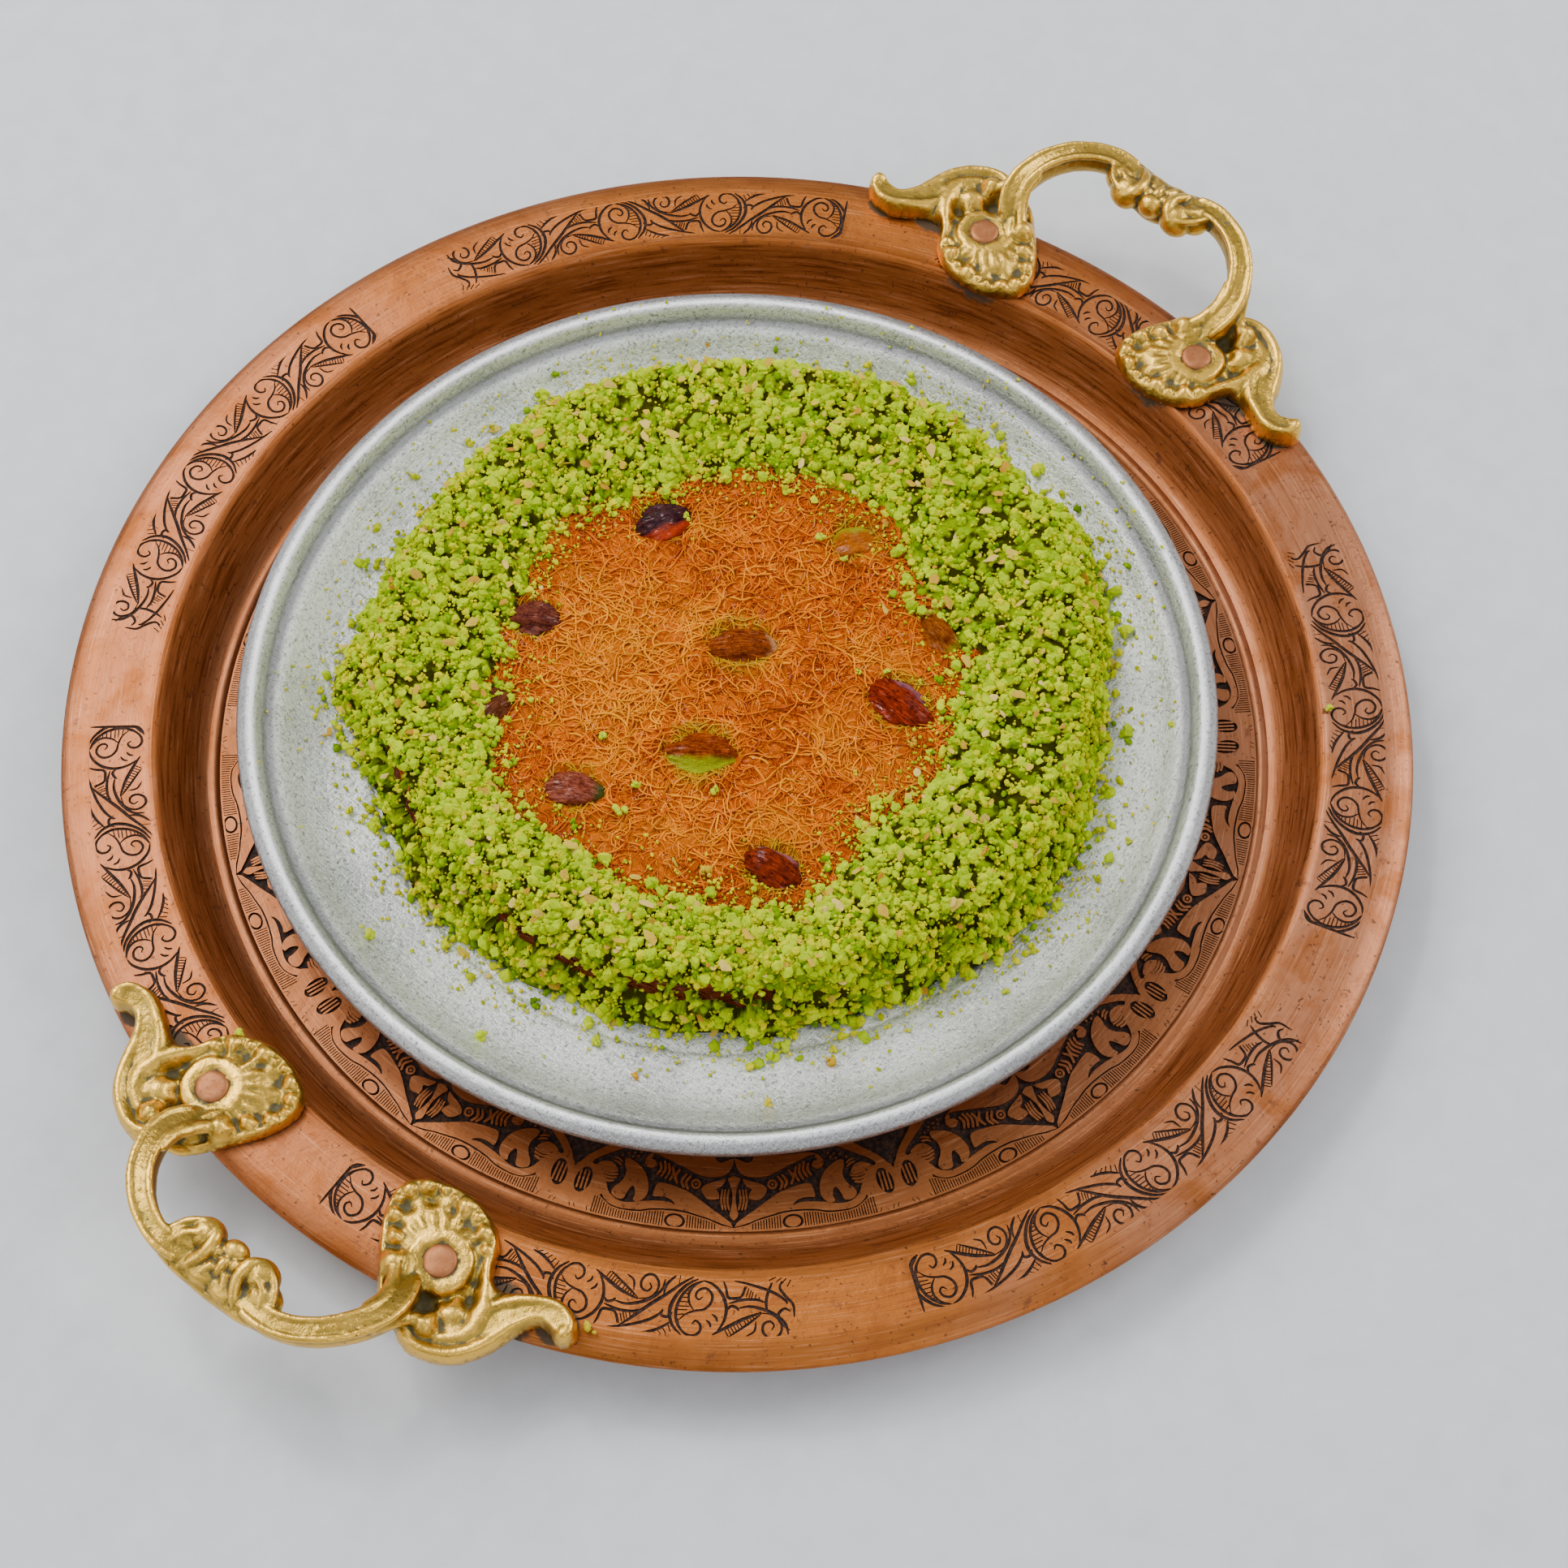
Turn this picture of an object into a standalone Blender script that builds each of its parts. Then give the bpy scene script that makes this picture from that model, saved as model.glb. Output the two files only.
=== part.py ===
# Kunafa on its serving ware: a round shredded-pastry cake with a ring of ground
# pistachio and whole pistachio kernels, on an aluminium plate, on an engraved
# copper tray with two cast brass handles held by copper rivets.
#
# Frame: origin on the floor under the middle of the tray, +Z up, handles on
# the X axis. Units are metres.

import math
import random

import bmesh
import bpy
from mathutils import Matrix, Vector, noise

MM = 0.001
GAP = 0.3 * MM

# Tray: one spun copper sheet
TRAY_RADIUS = 140 * MM
TRAY_SHEET = 1.5 * MM
RIM_TOP = 14.5 * MM
RIM_INNER_RADIUS = 121 * MM
RIM_BAND = 5.5 * MM
FLOOR_RADIUS = 109.4 * MM
TRAY_STEPS = 48

# Plate: aluminium, resting on the tray's floor
PLATE_RADIUS = 101.7 * MM
PLATE_SHEET = 1.2 * MM
PLATE_RIM_TOP = 17.5 * MM
PLATE_FLOOR_RADIUS = 74 * MM
PLATE_CENTRE = Vector((0.7, 3.3, 0)) * MM
PLATE_STEPS = 40

# Pastry: a flat round cake with a rounded crisp edge
PASTRY_RADIUS = 75 * MM
PASTRY_TOP_RADIUS = 71.5 * MM
PASTRY_BASE_RADIUS = 67 * MM
PASTRY_TOP = 19 * MM
PASTRY_CENTRE = Vector((7.4, 5.8, 0)) * MM
PASTRY_STEPS = 40
PASTRY_RELIEF = 0.5 * MM

# Ring of ground pistachio
RING_OUTER_RADIUS = 79.5 * MM
RING_HOLE_RADIUS = 49.6 * MM
RING_HOLE_CENTRE = Vector((0.8, 4.3, 0)) * MM
RING_DEPTH = 3.3 * MM
RING_STEPS = 90
RING_BUMP = 0.9 * MM
GRAIN_COUNT = 36
GRAIN_RADIUS = 1.3 * MM

# Pistachio kernels: middle on the pastry's top, length, width, direction in
# degrees from +X, and how far the back of the kernel stands above the pastry
KERNEL_THICKNESS = 8.0 * MM
KERNELS = (
    (9.5, 6.8, 17.6, 8.6, -56, 2.2),
    (-15.6, -1.8, 17.8, 8.8, -53, 2.2),
    (23.6, 38.4, 12.5, 9.0, -32, 2.6),
    (-11.6, 45.2, 12.5, 8.4, -65, 2.4),
    (-37.6, 13.2, 14.0, 8.4, -55, 2.5),
    (-27.4, -29.6, 14.5, 8.6, -77, 2.5),
    (18.4, -28.0, 16.4, 9.0, -86, 2.6),
    (44.6, 2.8, 14.0, 8.6, -39, 1.2),
    (-33.4, 38.8, 13.0, 8.4, -10, 1.8),
    (37.2, -24.6, 12.5, 8.4, -93, 1.6),
)

# Handles: one casting, used twice, each held by two rivets
RIVET_CIRCLE = 132.3 * MM
RIVET_ANGLE = math.radians(12.5)
RIVET_HEAD_RADIUS = 3.4 * MM
RIVET_SHANK_RADIUS = 2.6 * MM
RIVET_FOOT_RADIUS = 4.8 * MM
RIVET_STEPS = 10
HANDLE_PAD = 2.6 * MM
BOSS_HEIGHT = 3.3 * MM
BAIL_TALLNESS = 1.55
HANDLE_BASE = RIM_TOP + GAP

COPPER = (0.55, 0.21, 0.10, 1)
BRASS = (0.58, 0.43, 0.14, 1)
ALUMINIUM = (0.66, 0.67, 0.68, 1)
PASTRY_ORANGE = (0.72, 0.24, 0.02, 1)
PISTACHIO_GREEN = (0.38, 0.50, 0.02, 1)
KERNEL_BROWN = (0.16, 0.03, 0.01, 1)


def clear_scene():
    for obj in list(bpy.data.objects):
        bpy.data.objects.remove(obj, do_unlink=True)


def make_collection(name):
    collection = bpy.data.collections.new(name)
    bpy.context.scene.collection.children.link(collection)
    return collection


def make_material(name, colour, roughness, metallic):
    material = bpy.data.materials.new(name)
    material.use_nodes = True
    shader = material.node_tree.nodes["Principled BSDF"]
    shader.inputs["Base Color"].default_value = colour
    shader.inputs["Roughness"].default_value = roughness
    shader.inputs["Metallic"].default_value = metallic
    material.diffuse_color = colour
    return material


def add_mesh(name, bm, collection, material=None):
    mesh = bpy.data.meshes.new(name)
    bm.to_mesh(mesh)
    bm.free()
    obj = bpy.data.objects.new(name, mesh)
    collection.objects.link(obj)
    if material:
        mesh.materials.append(material)
    return obj


def as_cutter(obj):
    obj.hide_render = True
    obj.display_type = "WIRE"
    return obj


def smooth_shading(obj, angle=40):
    obj.data.shade_smooth()
    obj.data.set_sharp_from_angle(angle=math.radians(angle))


def cut(obj, cutter, solver="EXACT"):
    modifier = obj.modifiers.new("cut " + cutter.name, "BOOLEAN")
    modifier.operation = "DIFFERENCE"
    modifier.object = cutter
    modifier.solver = solver


def apply_modifiers(obj):
    depsgraph = bpy.context.evaluated_depsgraph_get()
    mesh = bpy.data.meshes.new_from_object(obj.evaluated_get(depsgraph))
    obj.modifiers.clear()
    obj.data = mesh


def join_as_solid(name, pieces, solver="EXACT"):
    # One solid from overlapping closed pieces; the pieces are used up
    group = bpy.data.collections.new(name + " pieces")
    first = pieces[0]
    for piece in pieces[1:]:
        group.objects.link(piece)
    union = first.modifiers.new("union", "BOOLEAN")
    union.operation = "UNION"
    union.operand_type = "COLLECTION"
    union.collection = group
    union.solver = solver
    apply_modifiers(first)
    for piece in pieces[1:]:
        bpy.data.objects.remove(piece, do_unlink=True)
    bpy.data.collections.remove(group)
    first.name = name
    return first


def drop_loose_scraps(obj):
    # Only the largest body of the mesh stays; bodies are faces joined at edges
    bm = bmesh.new()
    bm.from_mesh(obj.data)
    unseen = set(bm.faces)
    bodies = []
    while unseen:
        body = {unseen.pop()}
        border = list(body)
        while border:
            face = border.pop()
            nearby = {other for edge in face.edges for other in edge.link_faces} - body
            body |= nearby
            border.extend(nearby)
        unseen -= body
        bodies.append(body)
    bodies.sort(key=len)
    for body in bodies[:-1]:
        bmesh.ops.delete(bm, geom=list(body), context="FACES")
    bm.to_mesh(obj.data)
    bm.free()


def turned(name, profile, steps, collection, material=None):
    # A closed turned shape. The profile starts and ends on the axis and runs
    # out along the top, down the outer edge and back along the underside.
    bm = bmesh.new()
    corners = [bm.verts.new((radius, 0, z)) for radius, z in profile]
    for first, second in zip(corners, corners[1:]):
        bm.edges.new((first, second))
    obj = add_mesh(name, bm, collection, material)
    screw = obj.modifiers.new("turn", "SCREW")
    screw.steps = steps
    screw.render_steps = steps
    screw.use_merge_vertices = True
    screw.merge_threshold = 0.00002
    apply_modifiers(obj)
    return obj


def tube(name, points, collection, tallness=1.0, resolution=1, per_span=1):
    # A tube along a smooth path; each point is x, y, z, radius in metres, and
    # the section is taller than wide by the factor tallness
    curve = bpy.data.curves.new(name, "CURVE")
    curve.dimensions = "3D"
    curve.twist_mode = "Z_UP"
    curve.bevel_depth = 1.0
    curve.bevel_resolution = resolution
    curve.use_fill_caps = True
    path = smooth_path(points, per_span)
    spline = curve.splines.new("POLY")
    spline.points.add(len(path) - 1)
    for point, (x, y, z, radius) in zip(spline.points, path):
        point.co = (x, y, z, 1)
        point.radius = radius
    obj = bpy.data.objects.new(name, curve)
    collection.objects.link(obj)
    solid = curve_to_mesh(obj, collection)
    for vertex in solid.data.vertices:
        middle = min(path, key=lambda point: (point.xyz - vertex.co).length)
        vertex.co.z = middle.z + (vertex.co.z - middle.z) * tallness
    return solid


def curve_to_mesh(obj, collection):
    depsgraph = bpy.context.evaluated_depsgraph_get()
    mesh = bpy.data.meshes.new_from_object(obj.evaluated_get(depsgraph))
    bm = bmesh.new()
    bm.from_mesh(mesh)
    bmesh.ops.remove_doubles(bm, verts=bm.verts, dist=0.00002)
    bm.to_mesh(mesh)
    bm.free()
    solid = bpy.data.objects.new(obj.name + " solid", mesh)
    solid.matrix_world = obj.matrix_world
    collection.objects.link(solid)
    bpy.data.objects.remove(obj, do_unlink=True)
    return solid


def smooth_path(points, per_span):
    # Catmull-Rom curve through the points
    rows = [Vector(point) for point in points]
    rows = [2 * rows[0] - rows[1]] + rows + [2 * rows[-1] - rows[-2]]
    path = []
    for index in range(1, len(rows) - 2):
        before, start, end, after = rows[index - 1:index + 3]
        for step in range(per_span):
            t = step / per_span
            path.append(0.5 * (
                2 * start
                + (end - before) * t
                + (2 * before - 5 * start + 4 * end - after) * t ** 2
                + (3 * start - before - 3 * end + after) * t ** 3
            ))
    path.append(rows[-2])
    return path


def ellipsoid(name, centre, half_sizes, collection, segments=8, rings=6, turn=0.0):
    bm = bmesh.new()
    shape = (
        Matrix.Translation(centre)
        @ Matrix.Rotation(turn, 4, "Z")
        @ Matrix.Diagonal((*half_sizes, 1))
    )
    bmesh.ops.create_uvsphere(bm, u_segments=segments, v_segments=rings, radius=1, matrix=shape)
    return add_mesh(name, bm, collection)


# Heights of the plate and the pastry, which what lies on them also needs

def plate_profile():
    # Radius and height of the plate's upper face, from the middle to the lip
    floor = TRAY_SHEET + GAP + PLATE_SHEET
    lip = PLATE_RIM_TOP
    return (
        (0, floor),
        (PLATE_FLOOR_RADIUS, floor),
        (PLATE_FLOOR_RADIUS + 7 * MM, floor + 1.1 * MM),
        (PLATE_RADIUS - 13 * MM, floor + 4.2 * MM),
        (PLATE_RADIUS - 7.5 * MM, lip - 5.6 * MM),
        (PLATE_RADIUS - 4.6 * MM, lip - 1.5 * MM),
        (PLATE_RADIUS - 2.6 * MM, lip),
        (PLATE_RADIUS - 0.7 * MM, lip - 0.5 * MM),
        (PLATE_RADIUS, lip - 1.7 * MM),
    )


def plate_height(x, y):
    radius = math.hypot(x - PLATE_CENTRE.x, y - PLATE_CENTRE.y)
    profile = plate_profile()
    for (near, low), (far, high) in zip(profile, profile[1:]):
        if radius <= far:
            return low + (high - low) * (radius - near) / (far - near)
    return profile[-1][1]


def make_tray(collection, material):
    sheet = TRAY_SHEET
    inner = RIM_INNER_RADIUS
    top = RIM_TOP
    profile = (
        (0, sheet),
        (FLOOR_RADIUS - 0.9 * MM, sheet),
        (FLOOR_RADIUS + 0.6 * MM, sheet + 0.7 * MM),
        (FLOOR_RADIUS + 2.4 * MM, sheet + 0.4 * MM),
        (inner - 4.4 * MM, top - 8.6 * MM),
        (inner - 1.4 * MM, top - 2.6 * MM),
        (inner, top - 0.2 * MM),
        (inner + 1.2 * MM, top - 0.35 * MM),
        (TRAY_RADIUS - RIM_BAND, top),
        (TRAY_RADIUS - 0.8 * MM, top - 0.9 * MM),
        (TRAY_RADIUS, top - 1.7 * MM),
        (TRAY_RADIUS - 0.6 * MM, top - 2.6 * MM),
        (inner + 1.0 * MM, top - sheet - 0.35 * MM),
        (inner - 3.4 * MM, top - 9.6 * MM),
        (FLOOR_RADIUS + 1.0 * MM, 0.4 * MM),
        (FLOOR_RADIUS - 1.6 * MM, 0),
        (0, 0),
    )
    tray = turned("tray", profile, TRAY_STEPS, collection, material)
    return tray


def make_plate(collection, material):
    upper = list(plate_profile())
    base = TRAY_SHEET + GAP
    lower = [
        (PLATE_RADIUS - 1.2 * MM, PLATE_RIM_TOP - 2.5 * MM),
        (PLATE_RADIUS - 3.7 * MM, PLATE_RIM_TOP - 2.6 * MM),
        (PLATE_RADIUS - 6.4 * MM, PLATE_RIM_TOP - 6.5 * MM),
        (PLATE_RADIUS - 12.2 * MM, base + 4.0 * MM),
        (PLATE_FLOOR_RADIUS + 1.0 * MM, base),
        (0, base),
    ]
    plate = turned("plate", upper + lower, PLATE_STEPS, collection, material)
    plate.location = PLATE_CENTRE
    return plate


def make_pastry(collection, cutters, material):
    floor = TRAY_SHEET + GAP + PLATE_SHEET + GAP
    profile = [(ring * PASTRY_TOP_RADIUS / 4, PASTRY_TOP) for ring in range(3)]
    profile += [
        (PASTRY_TOP_RADIUS - 1.5 * MM, PASTRY_TOP),
        (PASTRY_TOP_RADIUS + 1.2 * MM, PASTRY_TOP - 1.2 * MM),
        (PASTRY_RADIUS - 0.8 * MM, PASTRY_TOP - 4.0 * MM),
        (PASTRY_RADIUS, floor + 4.2 * MM),
        (PASTRY_BASE_RADIUS, floor),
        (0, floor),
    ]
    pastry = turned("pastry", profile, PASTRY_STEPS, collection, material)
    level_reach = RING_HOLE_RADIUS - 8 * MM
    for vertex in pastry.data.vertices:
        reach = vertex.co.xy.length
        if vertex.co.z > PASTRY_TOP - 0.1 * MM and reach < level_reach:
            fade = 1 - (reach / level_reach) ** 2
            vertex.co.z += PASTRY_RELIEF * fade * noise.noise(vertex.co / (11 * MM))
    pastry.location = PASTRY_CENTRE
    for index in range(len(KERNELS)):
        cut(pastry, kernel_shape("pocket %02d" % (index + 1), index, cutters, GAP))
    return pastry


def kernel_shape(name, index, collection, extra=0.0):
    x, y, length, width, direction, proud = KERNELS[index]
    centre = Vector((x * MM, y * MM, PASTRY_TOP + proud * MM - KERNEL_THICKNESS / 2))
    half_sizes = (
        length * MM / 2 + extra * 1.3,
        width * MM / 2 + extra * 1.3,
        KERNEL_THICKNESS / 2 + extra * 1.3,
    )
    shape = ellipsoid(name, centre, half_sizes, collection, 8, 6, math.radians(direction))
    # A kernel is blunt at one end and narrows at the other
    along = Vector((math.cos(math.radians(direction)), math.sin(math.radians(direction)), 0))
    across = Vector((-along.y, along.x, 0))
    for vertex in shape.data.vertices:
        offset = vertex.co - centre
        narrowing = 1 - 0.16 * offset.dot(along) / half_sizes[0]
        vertex.co -= across * offset.dot(across) * (1 - narrowing)
    return as_cutter(shape) if extra else shape


def make_kernels(collection, material):
    for index in range(len(KERNELS)):
        kernel = kernel_shape("pistachio_%02d" % (index + 1), index, collection)
        kernel.data.materials.append(material)
        smooth_shading(kernel, 60)


def ring_inner_edge(angle):
    # The uneven inner edge of the ground pistachio, about its own centre
    wave = (
        2.2 * math.cos(2 * angle - 0.9)
        + 1.9 * math.cos(5 * angle - 1.0)
        + 1.4 * math.cos(9 * angle + 0.6)
    )
    radius = RING_HOLE_RADIUS + wave * MM
    return RING_HOLE_CENTRE + radius * Vector((math.cos(angle), math.sin(angle), 0))


def ring_outer_edge(angle):
    # The foot of the heap on the plate, with the loose tail at one side
    wave = 0.9 * math.cos(4 * angle + 0.5) + 0.8 * math.cos(7 * angle - 1.2)
    tail = 6.5 * math.exp(-((angle - math.radians(128)) / math.radians(9)) ** 2)
    radius = RING_OUTER_RADIUS + (wave + tail) * MM
    return PASTRY_CENTRE + radius * Vector((math.cos(angle), math.sin(angle), 0))


def ring_section(angle):
    # Points round one section of the heap: over the top, down the outside, and
    # back under it along the plate, the pastry's side and the pastry's top
    inner = ring_inner_edge(angle)
    outer = ring_outer_edge(angle)
    outward = Vector((math.cos(angle), math.sin(angle), 0))
    shoulder = PASTRY_CENTRE + (PASTRY_TOP_RADIUS + 0.5 * MM) * outward
    top = PASTRY_TOP + GAP + 0.05 * MM
    upper = []
    over_pastry = ((0.0, 0.22), (0.08, 0.62), (0.26, 0.95), (0.46, 1.0), (0.66, 1.05), (0.85, 1.0))
    for across, depth in over_pastry:
        point = inner.lerp(shoulder, across)
        point.z = top + depth * RING_DEPTH
        upper.append(point)
    foot = plate_height(outer.x, outer.y) + GAP + 0.1 * MM
    down_the_side = ((0.0, 0.93), (0.34, 0.78), (0.62, 0.52), (0.82, 0.26), (0.96, 0.09))
    for across, fall in down_the_side:
        point = shoulder.lerp(outer, across)
        point.z = foot + fall * (top + RING_DEPTH - foot)
        upper.append(point)
    lower = [outer.copy()]
    lower[0].z = foot
    side = PASTRY_CENTRE + (PASTRY_RADIUS + 0.5 * MM) * outward
    side.z = max(foot, plate_height(side.x, side.y) + GAP + 0.1 * MM)
    lower.append(side)
    under_side = (
        (PASTRY_RADIUS - 0.3 * MM, 3.9 * MM),
        (PASTRY_TOP_RADIUS + 1.6 * MM, 0.8 * MM),
        (PASTRY_TOP_RADIUS - 1.3 * MM, 0),
    )
    for radius, drop in under_side:
        point = PASTRY_CENTRE + radius * outward
        point.z = top - drop
        lower.append(point)
    low_inner = inner.copy()
    low_inner.z = top
    lower.append(low_inner)
    return upper, lower


def make_ring(collection, cutters, material):
    random.seed(11)
    bm = bmesh.new()
    loops = []
    for step in range(RING_STEPS):
        angle = 2 * math.pi * step / RING_STEPS
        upper, lower = ring_section(angle)
        for row, point in enumerate(upper):
            near_edge = min(1.0, (row + 0.5) / 2, (len(upper) - row - 0.5) / 2)
            bump = RING_BUMP * near_edge * random.uniform(-1, 1)
            point.z += bump
            point += 0.5 * bump * Vector((math.cos(angle), math.sin(angle), 0))
        loops.append([bm.verts.new(point) for point in upper + lower])
    for index, loop in enumerate(loops):
        following = loops[(index + 1) % RING_STEPS]
        for corner in range(len(loop)):
            nearby = (corner + 1) % len(loop)
            bm.faces.new((loop[corner], following[corner], following[nearby], loop[nearby]))
    bmesh.ops.triangulate(bm, faces=bm.faces)
    bmesh.ops.recalc_face_normals(bm, faces=bm.faces)
    core = add_mesh("pistachio_crumbs", bm, collection, material)
    ring = join_as_solid("pistachio_crumbs", [core] + make_grains(collection), "MANIFOLD")
    for index in range(len(KERNELS)):
        cut(ring, kernel_shape("clearance %02d" % (index + 1), index, cutters, 1.4 * GAP), "MANIFOLD")
    apply_modifiers(ring)
    drop_loose_scraps(ring)
    return ring


def make_grains(collection):
    # The largest crumbs, sunk to half in the heap and spread evenly round it
    random.seed(7)
    grains = []
    for index in range(GRAIN_COUNT):
        angle = 2 * math.pi * (index + random.random() * 0.5) / GRAIN_COUNT
        upper, lower = ring_section(angle)
        place = upper[2 + (index * 3) % (len(upper) - 4)]
        radius = GRAIN_RADIUS * random.uniform(0.85, 1.35)
        bm = bmesh.new()
        turn = Matrix.Rotation(random.uniform(0, math.pi), 4, "X")
        shape = Matrix.Translation(place + Vector((0, 0, radius * 0.35))) @ turn
        bmesh.ops.create_icosphere(bm, subdivisions=1, radius=radius, matrix=shape)
        grains.append(add_mesh("grain", bm, collection))
    return grains


# Handle pieces are modelled for the handle on +X: x runs out from the tray's
# middle, y along the tray's edge, and side is +1 or -1

def handle_point(x, y, height, radius, side):
    return (x * MM, y * MM * side, HANDLE_BASE + height * MM, radius * MM)


def make_foot(side, collection):
    # Shell-shaped foot: a dished pad with a scalloped edge towards the middle
    centre = Vector((126.3 * MM, 24.5 * MM * side, HANDLE_BASE + HANDLE_PAD / 2))
    half_length = 11.0 * MM
    half_width = 12.3 * MM
    bm = bmesh.new()
    bmesh.ops.create_cone(
        bm, cap_ends=True, cap_tris=False, segments=22, radius1=1, radius2=1, depth=HANDLE_PAD,
        matrix=Matrix.Translation(centre),
    )
    for vertex in bm.verts:
        offset = vertex.co - centre
        angle = math.atan2(offset.y * side, offset.x)
        towards_middle = max(0.0, -math.cos(angle + 0.35))
        scallop = 0.9 * MM * math.cos(10 * angle) * towards_middle ** 0.5
        vertex.co.x = centre.x + (half_length + scallop) * math.cos(angle)
        vertex.co.y = centre.y + (half_width + scallop) * math.sin(angle) * side
    top = [face for face in bm.faces if face.normal.z > 0.9]
    bmesh.ops.inset_region(bm, faces=top, thickness=2.6 * MM, depth=-0.7 * MM)
    return add_mesh("foot", bm, collection)


def make_boss(side, collection):
    height = BOSS_HEIGHT
    centre = rivet_place(side) + Vector((0, 0, HANDLE_BASE + height / 2))
    bm = bmesh.new()
    bmesh.ops.create_cone(
        bm, cap_ends=True, cap_tris=False, segments=12, radius1=6.6 * MM, radius2=5.4 * MM, depth=height,
        matrix=Matrix.Translation(centre),
    )
    return add_mesh("boss", bm, collection)


def make_leaf_web(side, collection):
    # Flat leaf between the boss, the outer scroll and the tail
    outline = (
        (131, 30), (139, 33), (142.5, 38), (140, 43), (133, 47.5),
        (127, 51), (123, 50), (124.5, 44), (125.5, 37),
    )
    bm = bmesh.new()
    corners = [bm.verts.new((x * MM, y * MM * side, HANDLE_BASE)) for x, y in outline]
    face = bm.faces.new(corners)
    raised = bmesh.ops.extrude_face_region(bm, geom=[face])
    for vertex in raised["geom"]:
        if isinstance(vertex, bmesh.types.BMVert):
            vertex.co.z += 3.0 * MM
    bmesh.ops.recalc_face_normals(bm, faces=bm.faces)
    return add_mesh("leaf", bm, collection)


def make_scrolls(side, collection):
    # Outer C-scroll, the tail leaf that curls up at its end, and the small
    # curl between the foot and the bail
    outer_scroll = (
        (137.0, 33.5, 2.6, 2.2), (139.6, 35.0, 3.0, 2.5), (141.4, 38.5, 3.0, 2.9),
        (140.4, 42.6, 3.0, 3.1), (136.4, 45.6, 3.0, 3.1), (131.0, 47.4, 3.0, 3.0), (127.0, 49.0, 2.9, 2.9),
    )
    tail = (
        (129.0, 45.5, 2.7, 3.0), (126.0, 49.0, 3.0, 3.1), (123.8, 52.5, 3.2, 2.9),
        (123.6, 56.0, 3.5, 2.5), (126.0, 58.0, 4.2, 2.0), (128.3, 57.2, 4.6, 1.6),
    )
    curl = (
        (133.5, 19.5, 2.4, 1.9), (135.2, 21.5, 2.8, 2.2),
        (135.4, 24.8, 3.2, 2.4), (133.2, 27.5, 3.2, 2.4),
    )
    pieces = []
    for name, row in (("scroll", outer_scroll), ("tail", tail), ("curl", curl)):
        points = [handle_point(*point, side) for point in row]
        pieces.append(tube(name, points, collection))
    return pieces


def make_bail(collection):
    # The grip: rises from each foot, arches outwards and meets in the middle
    half = (
        (132.5, 29.2, 3.1, 1.9), (137.0, 29.8, 4.4, 2.5), (143.0, 28.8, 6.4, 2.8), (149.0, 26.3, 8.4, 2.6),
        (153.8, 22.2, 9.6, 2.4), (157.1, 17.0, 10.2, 2.3), (158.3, 12.0, 10.5, 2.3), (157.4, 7.0, 10.5, 2.5),
        (155.8, 2.5, 10.2, 2.7),
    )
    points = [handle_point(*point, 1) for point in half]
    points += [handle_point(*point, -1) for point in reversed(half)]
    return tube("bail", points, collection, BAIL_TALLNESS, 2)


def make_knot(collection):
    # The grip's middle ornament: a fan that opens inwards and one that opens
    # outwards, tied by a band, between the rolled ends of two scrolls
    base = HANDLE_BASE
    pieces = []
    for name, x, y, height, size in (
        ("knot", 155.0, -0.8, 9.7, (6.4, 5.6, 4.7)),
        ("outer fan", 158.8, -0.6, 9.4, (3.2, 7.6, 4.2)),
        ("inner fan", 150.7, -0.8, 9.4, (3.0, 5.4, 3.2)),
    ):
        centre = Vector((x * MM, y * MM, base + height * MM))
        pieces.append(ellipsoid(name, centre, [value * MM for value in size], collection, 10, 5))
    for y in (-8.0, 6.4):
        centre = Vector((152.2 * MM, y * MM, base + 9.4 * MM))
        pieces.append(ellipsoid("roll", centre, [3.2 * MM, 3.1 * MM, 3.6 * MM], collection, 8, 6))
    return pieces


def rivet_place(side):
    return Vector((RIVET_CIRCLE * math.cos(RIVET_ANGLE), side * RIVET_CIRCLE * math.sin(RIVET_ANGLE), 0))


def rivet_profile(extra=0.0):
    # Head flush with the boss, countersunk, and peened over under the rim;
    # with extra it is the hole for it
    head = HANDLE_BASE + BOSS_HEIGHT
    under_rim = RIM_TOP - TRAY_SHEET - 1.0 * MM
    if extra:
        return (
            (0, head + 4 * MM),
            (RIVET_HEAD_RADIUS + extra, head + 4 * MM),
            (RIVET_HEAD_RADIUS + extra, head - 0.2 * MM),
            (RIVET_SHANK_RADIUS + extra, head - 1.6 * MM),
            (RIVET_SHANK_RADIUS + extra, under_rim - 4 * MM),
            (0, under_rim - 4 * MM),
        )
    return (
        (0, head + 0.3 * MM),
        (RIVET_HEAD_RADIUS - 0.8 * MM, head + 0.2 * MM),
        (RIVET_HEAD_RADIUS, head),
        (RIVET_SHANK_RADIUS, head - 1.4 * MM),
        (RIVET_SHANK_RADIUS, under_rim - 0.2 * MM),
        (RIVET_FOOT_RADIUS, under_rim - 0.3 * MM),
        (RIVET_FOOT_RADIUS - 1.4 * MM, under_rim - 1.6 * MM),
        (0, under_rim - 1.8 * MM),
    )


def make_handle(collection, cutters, material):
    pieces = [make_bail(collection)]
    for side in (1, -1):
        pieces.append(make_foot(side, collection))
        pieces.append(make_boss(side, collection))
        pieces.append(make_leaf_web(side, collection))
        pieces.extend(make_scrolls(side, collection))
    pieces.extend(make_knot(collection))
    handle = join_as_solid("handle_far", pieces, "MANIFOLD")
    for side in (1, -1):
        hole = turned("handle hole %+d" % side, rivet_profile(GAP), RIVET_STEPS, cutters)
        hole.location = rivet_place(side)
        as_cutter(hole)
        cut(handle, hole, "MANIFOLD")
    bpy.context.view_layer.update()
    apply_modifiers(handle)
    handle.data.materials.clear()
    handle.data.materials.append(material)
    smooth_shading(handle)
    return handle


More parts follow.
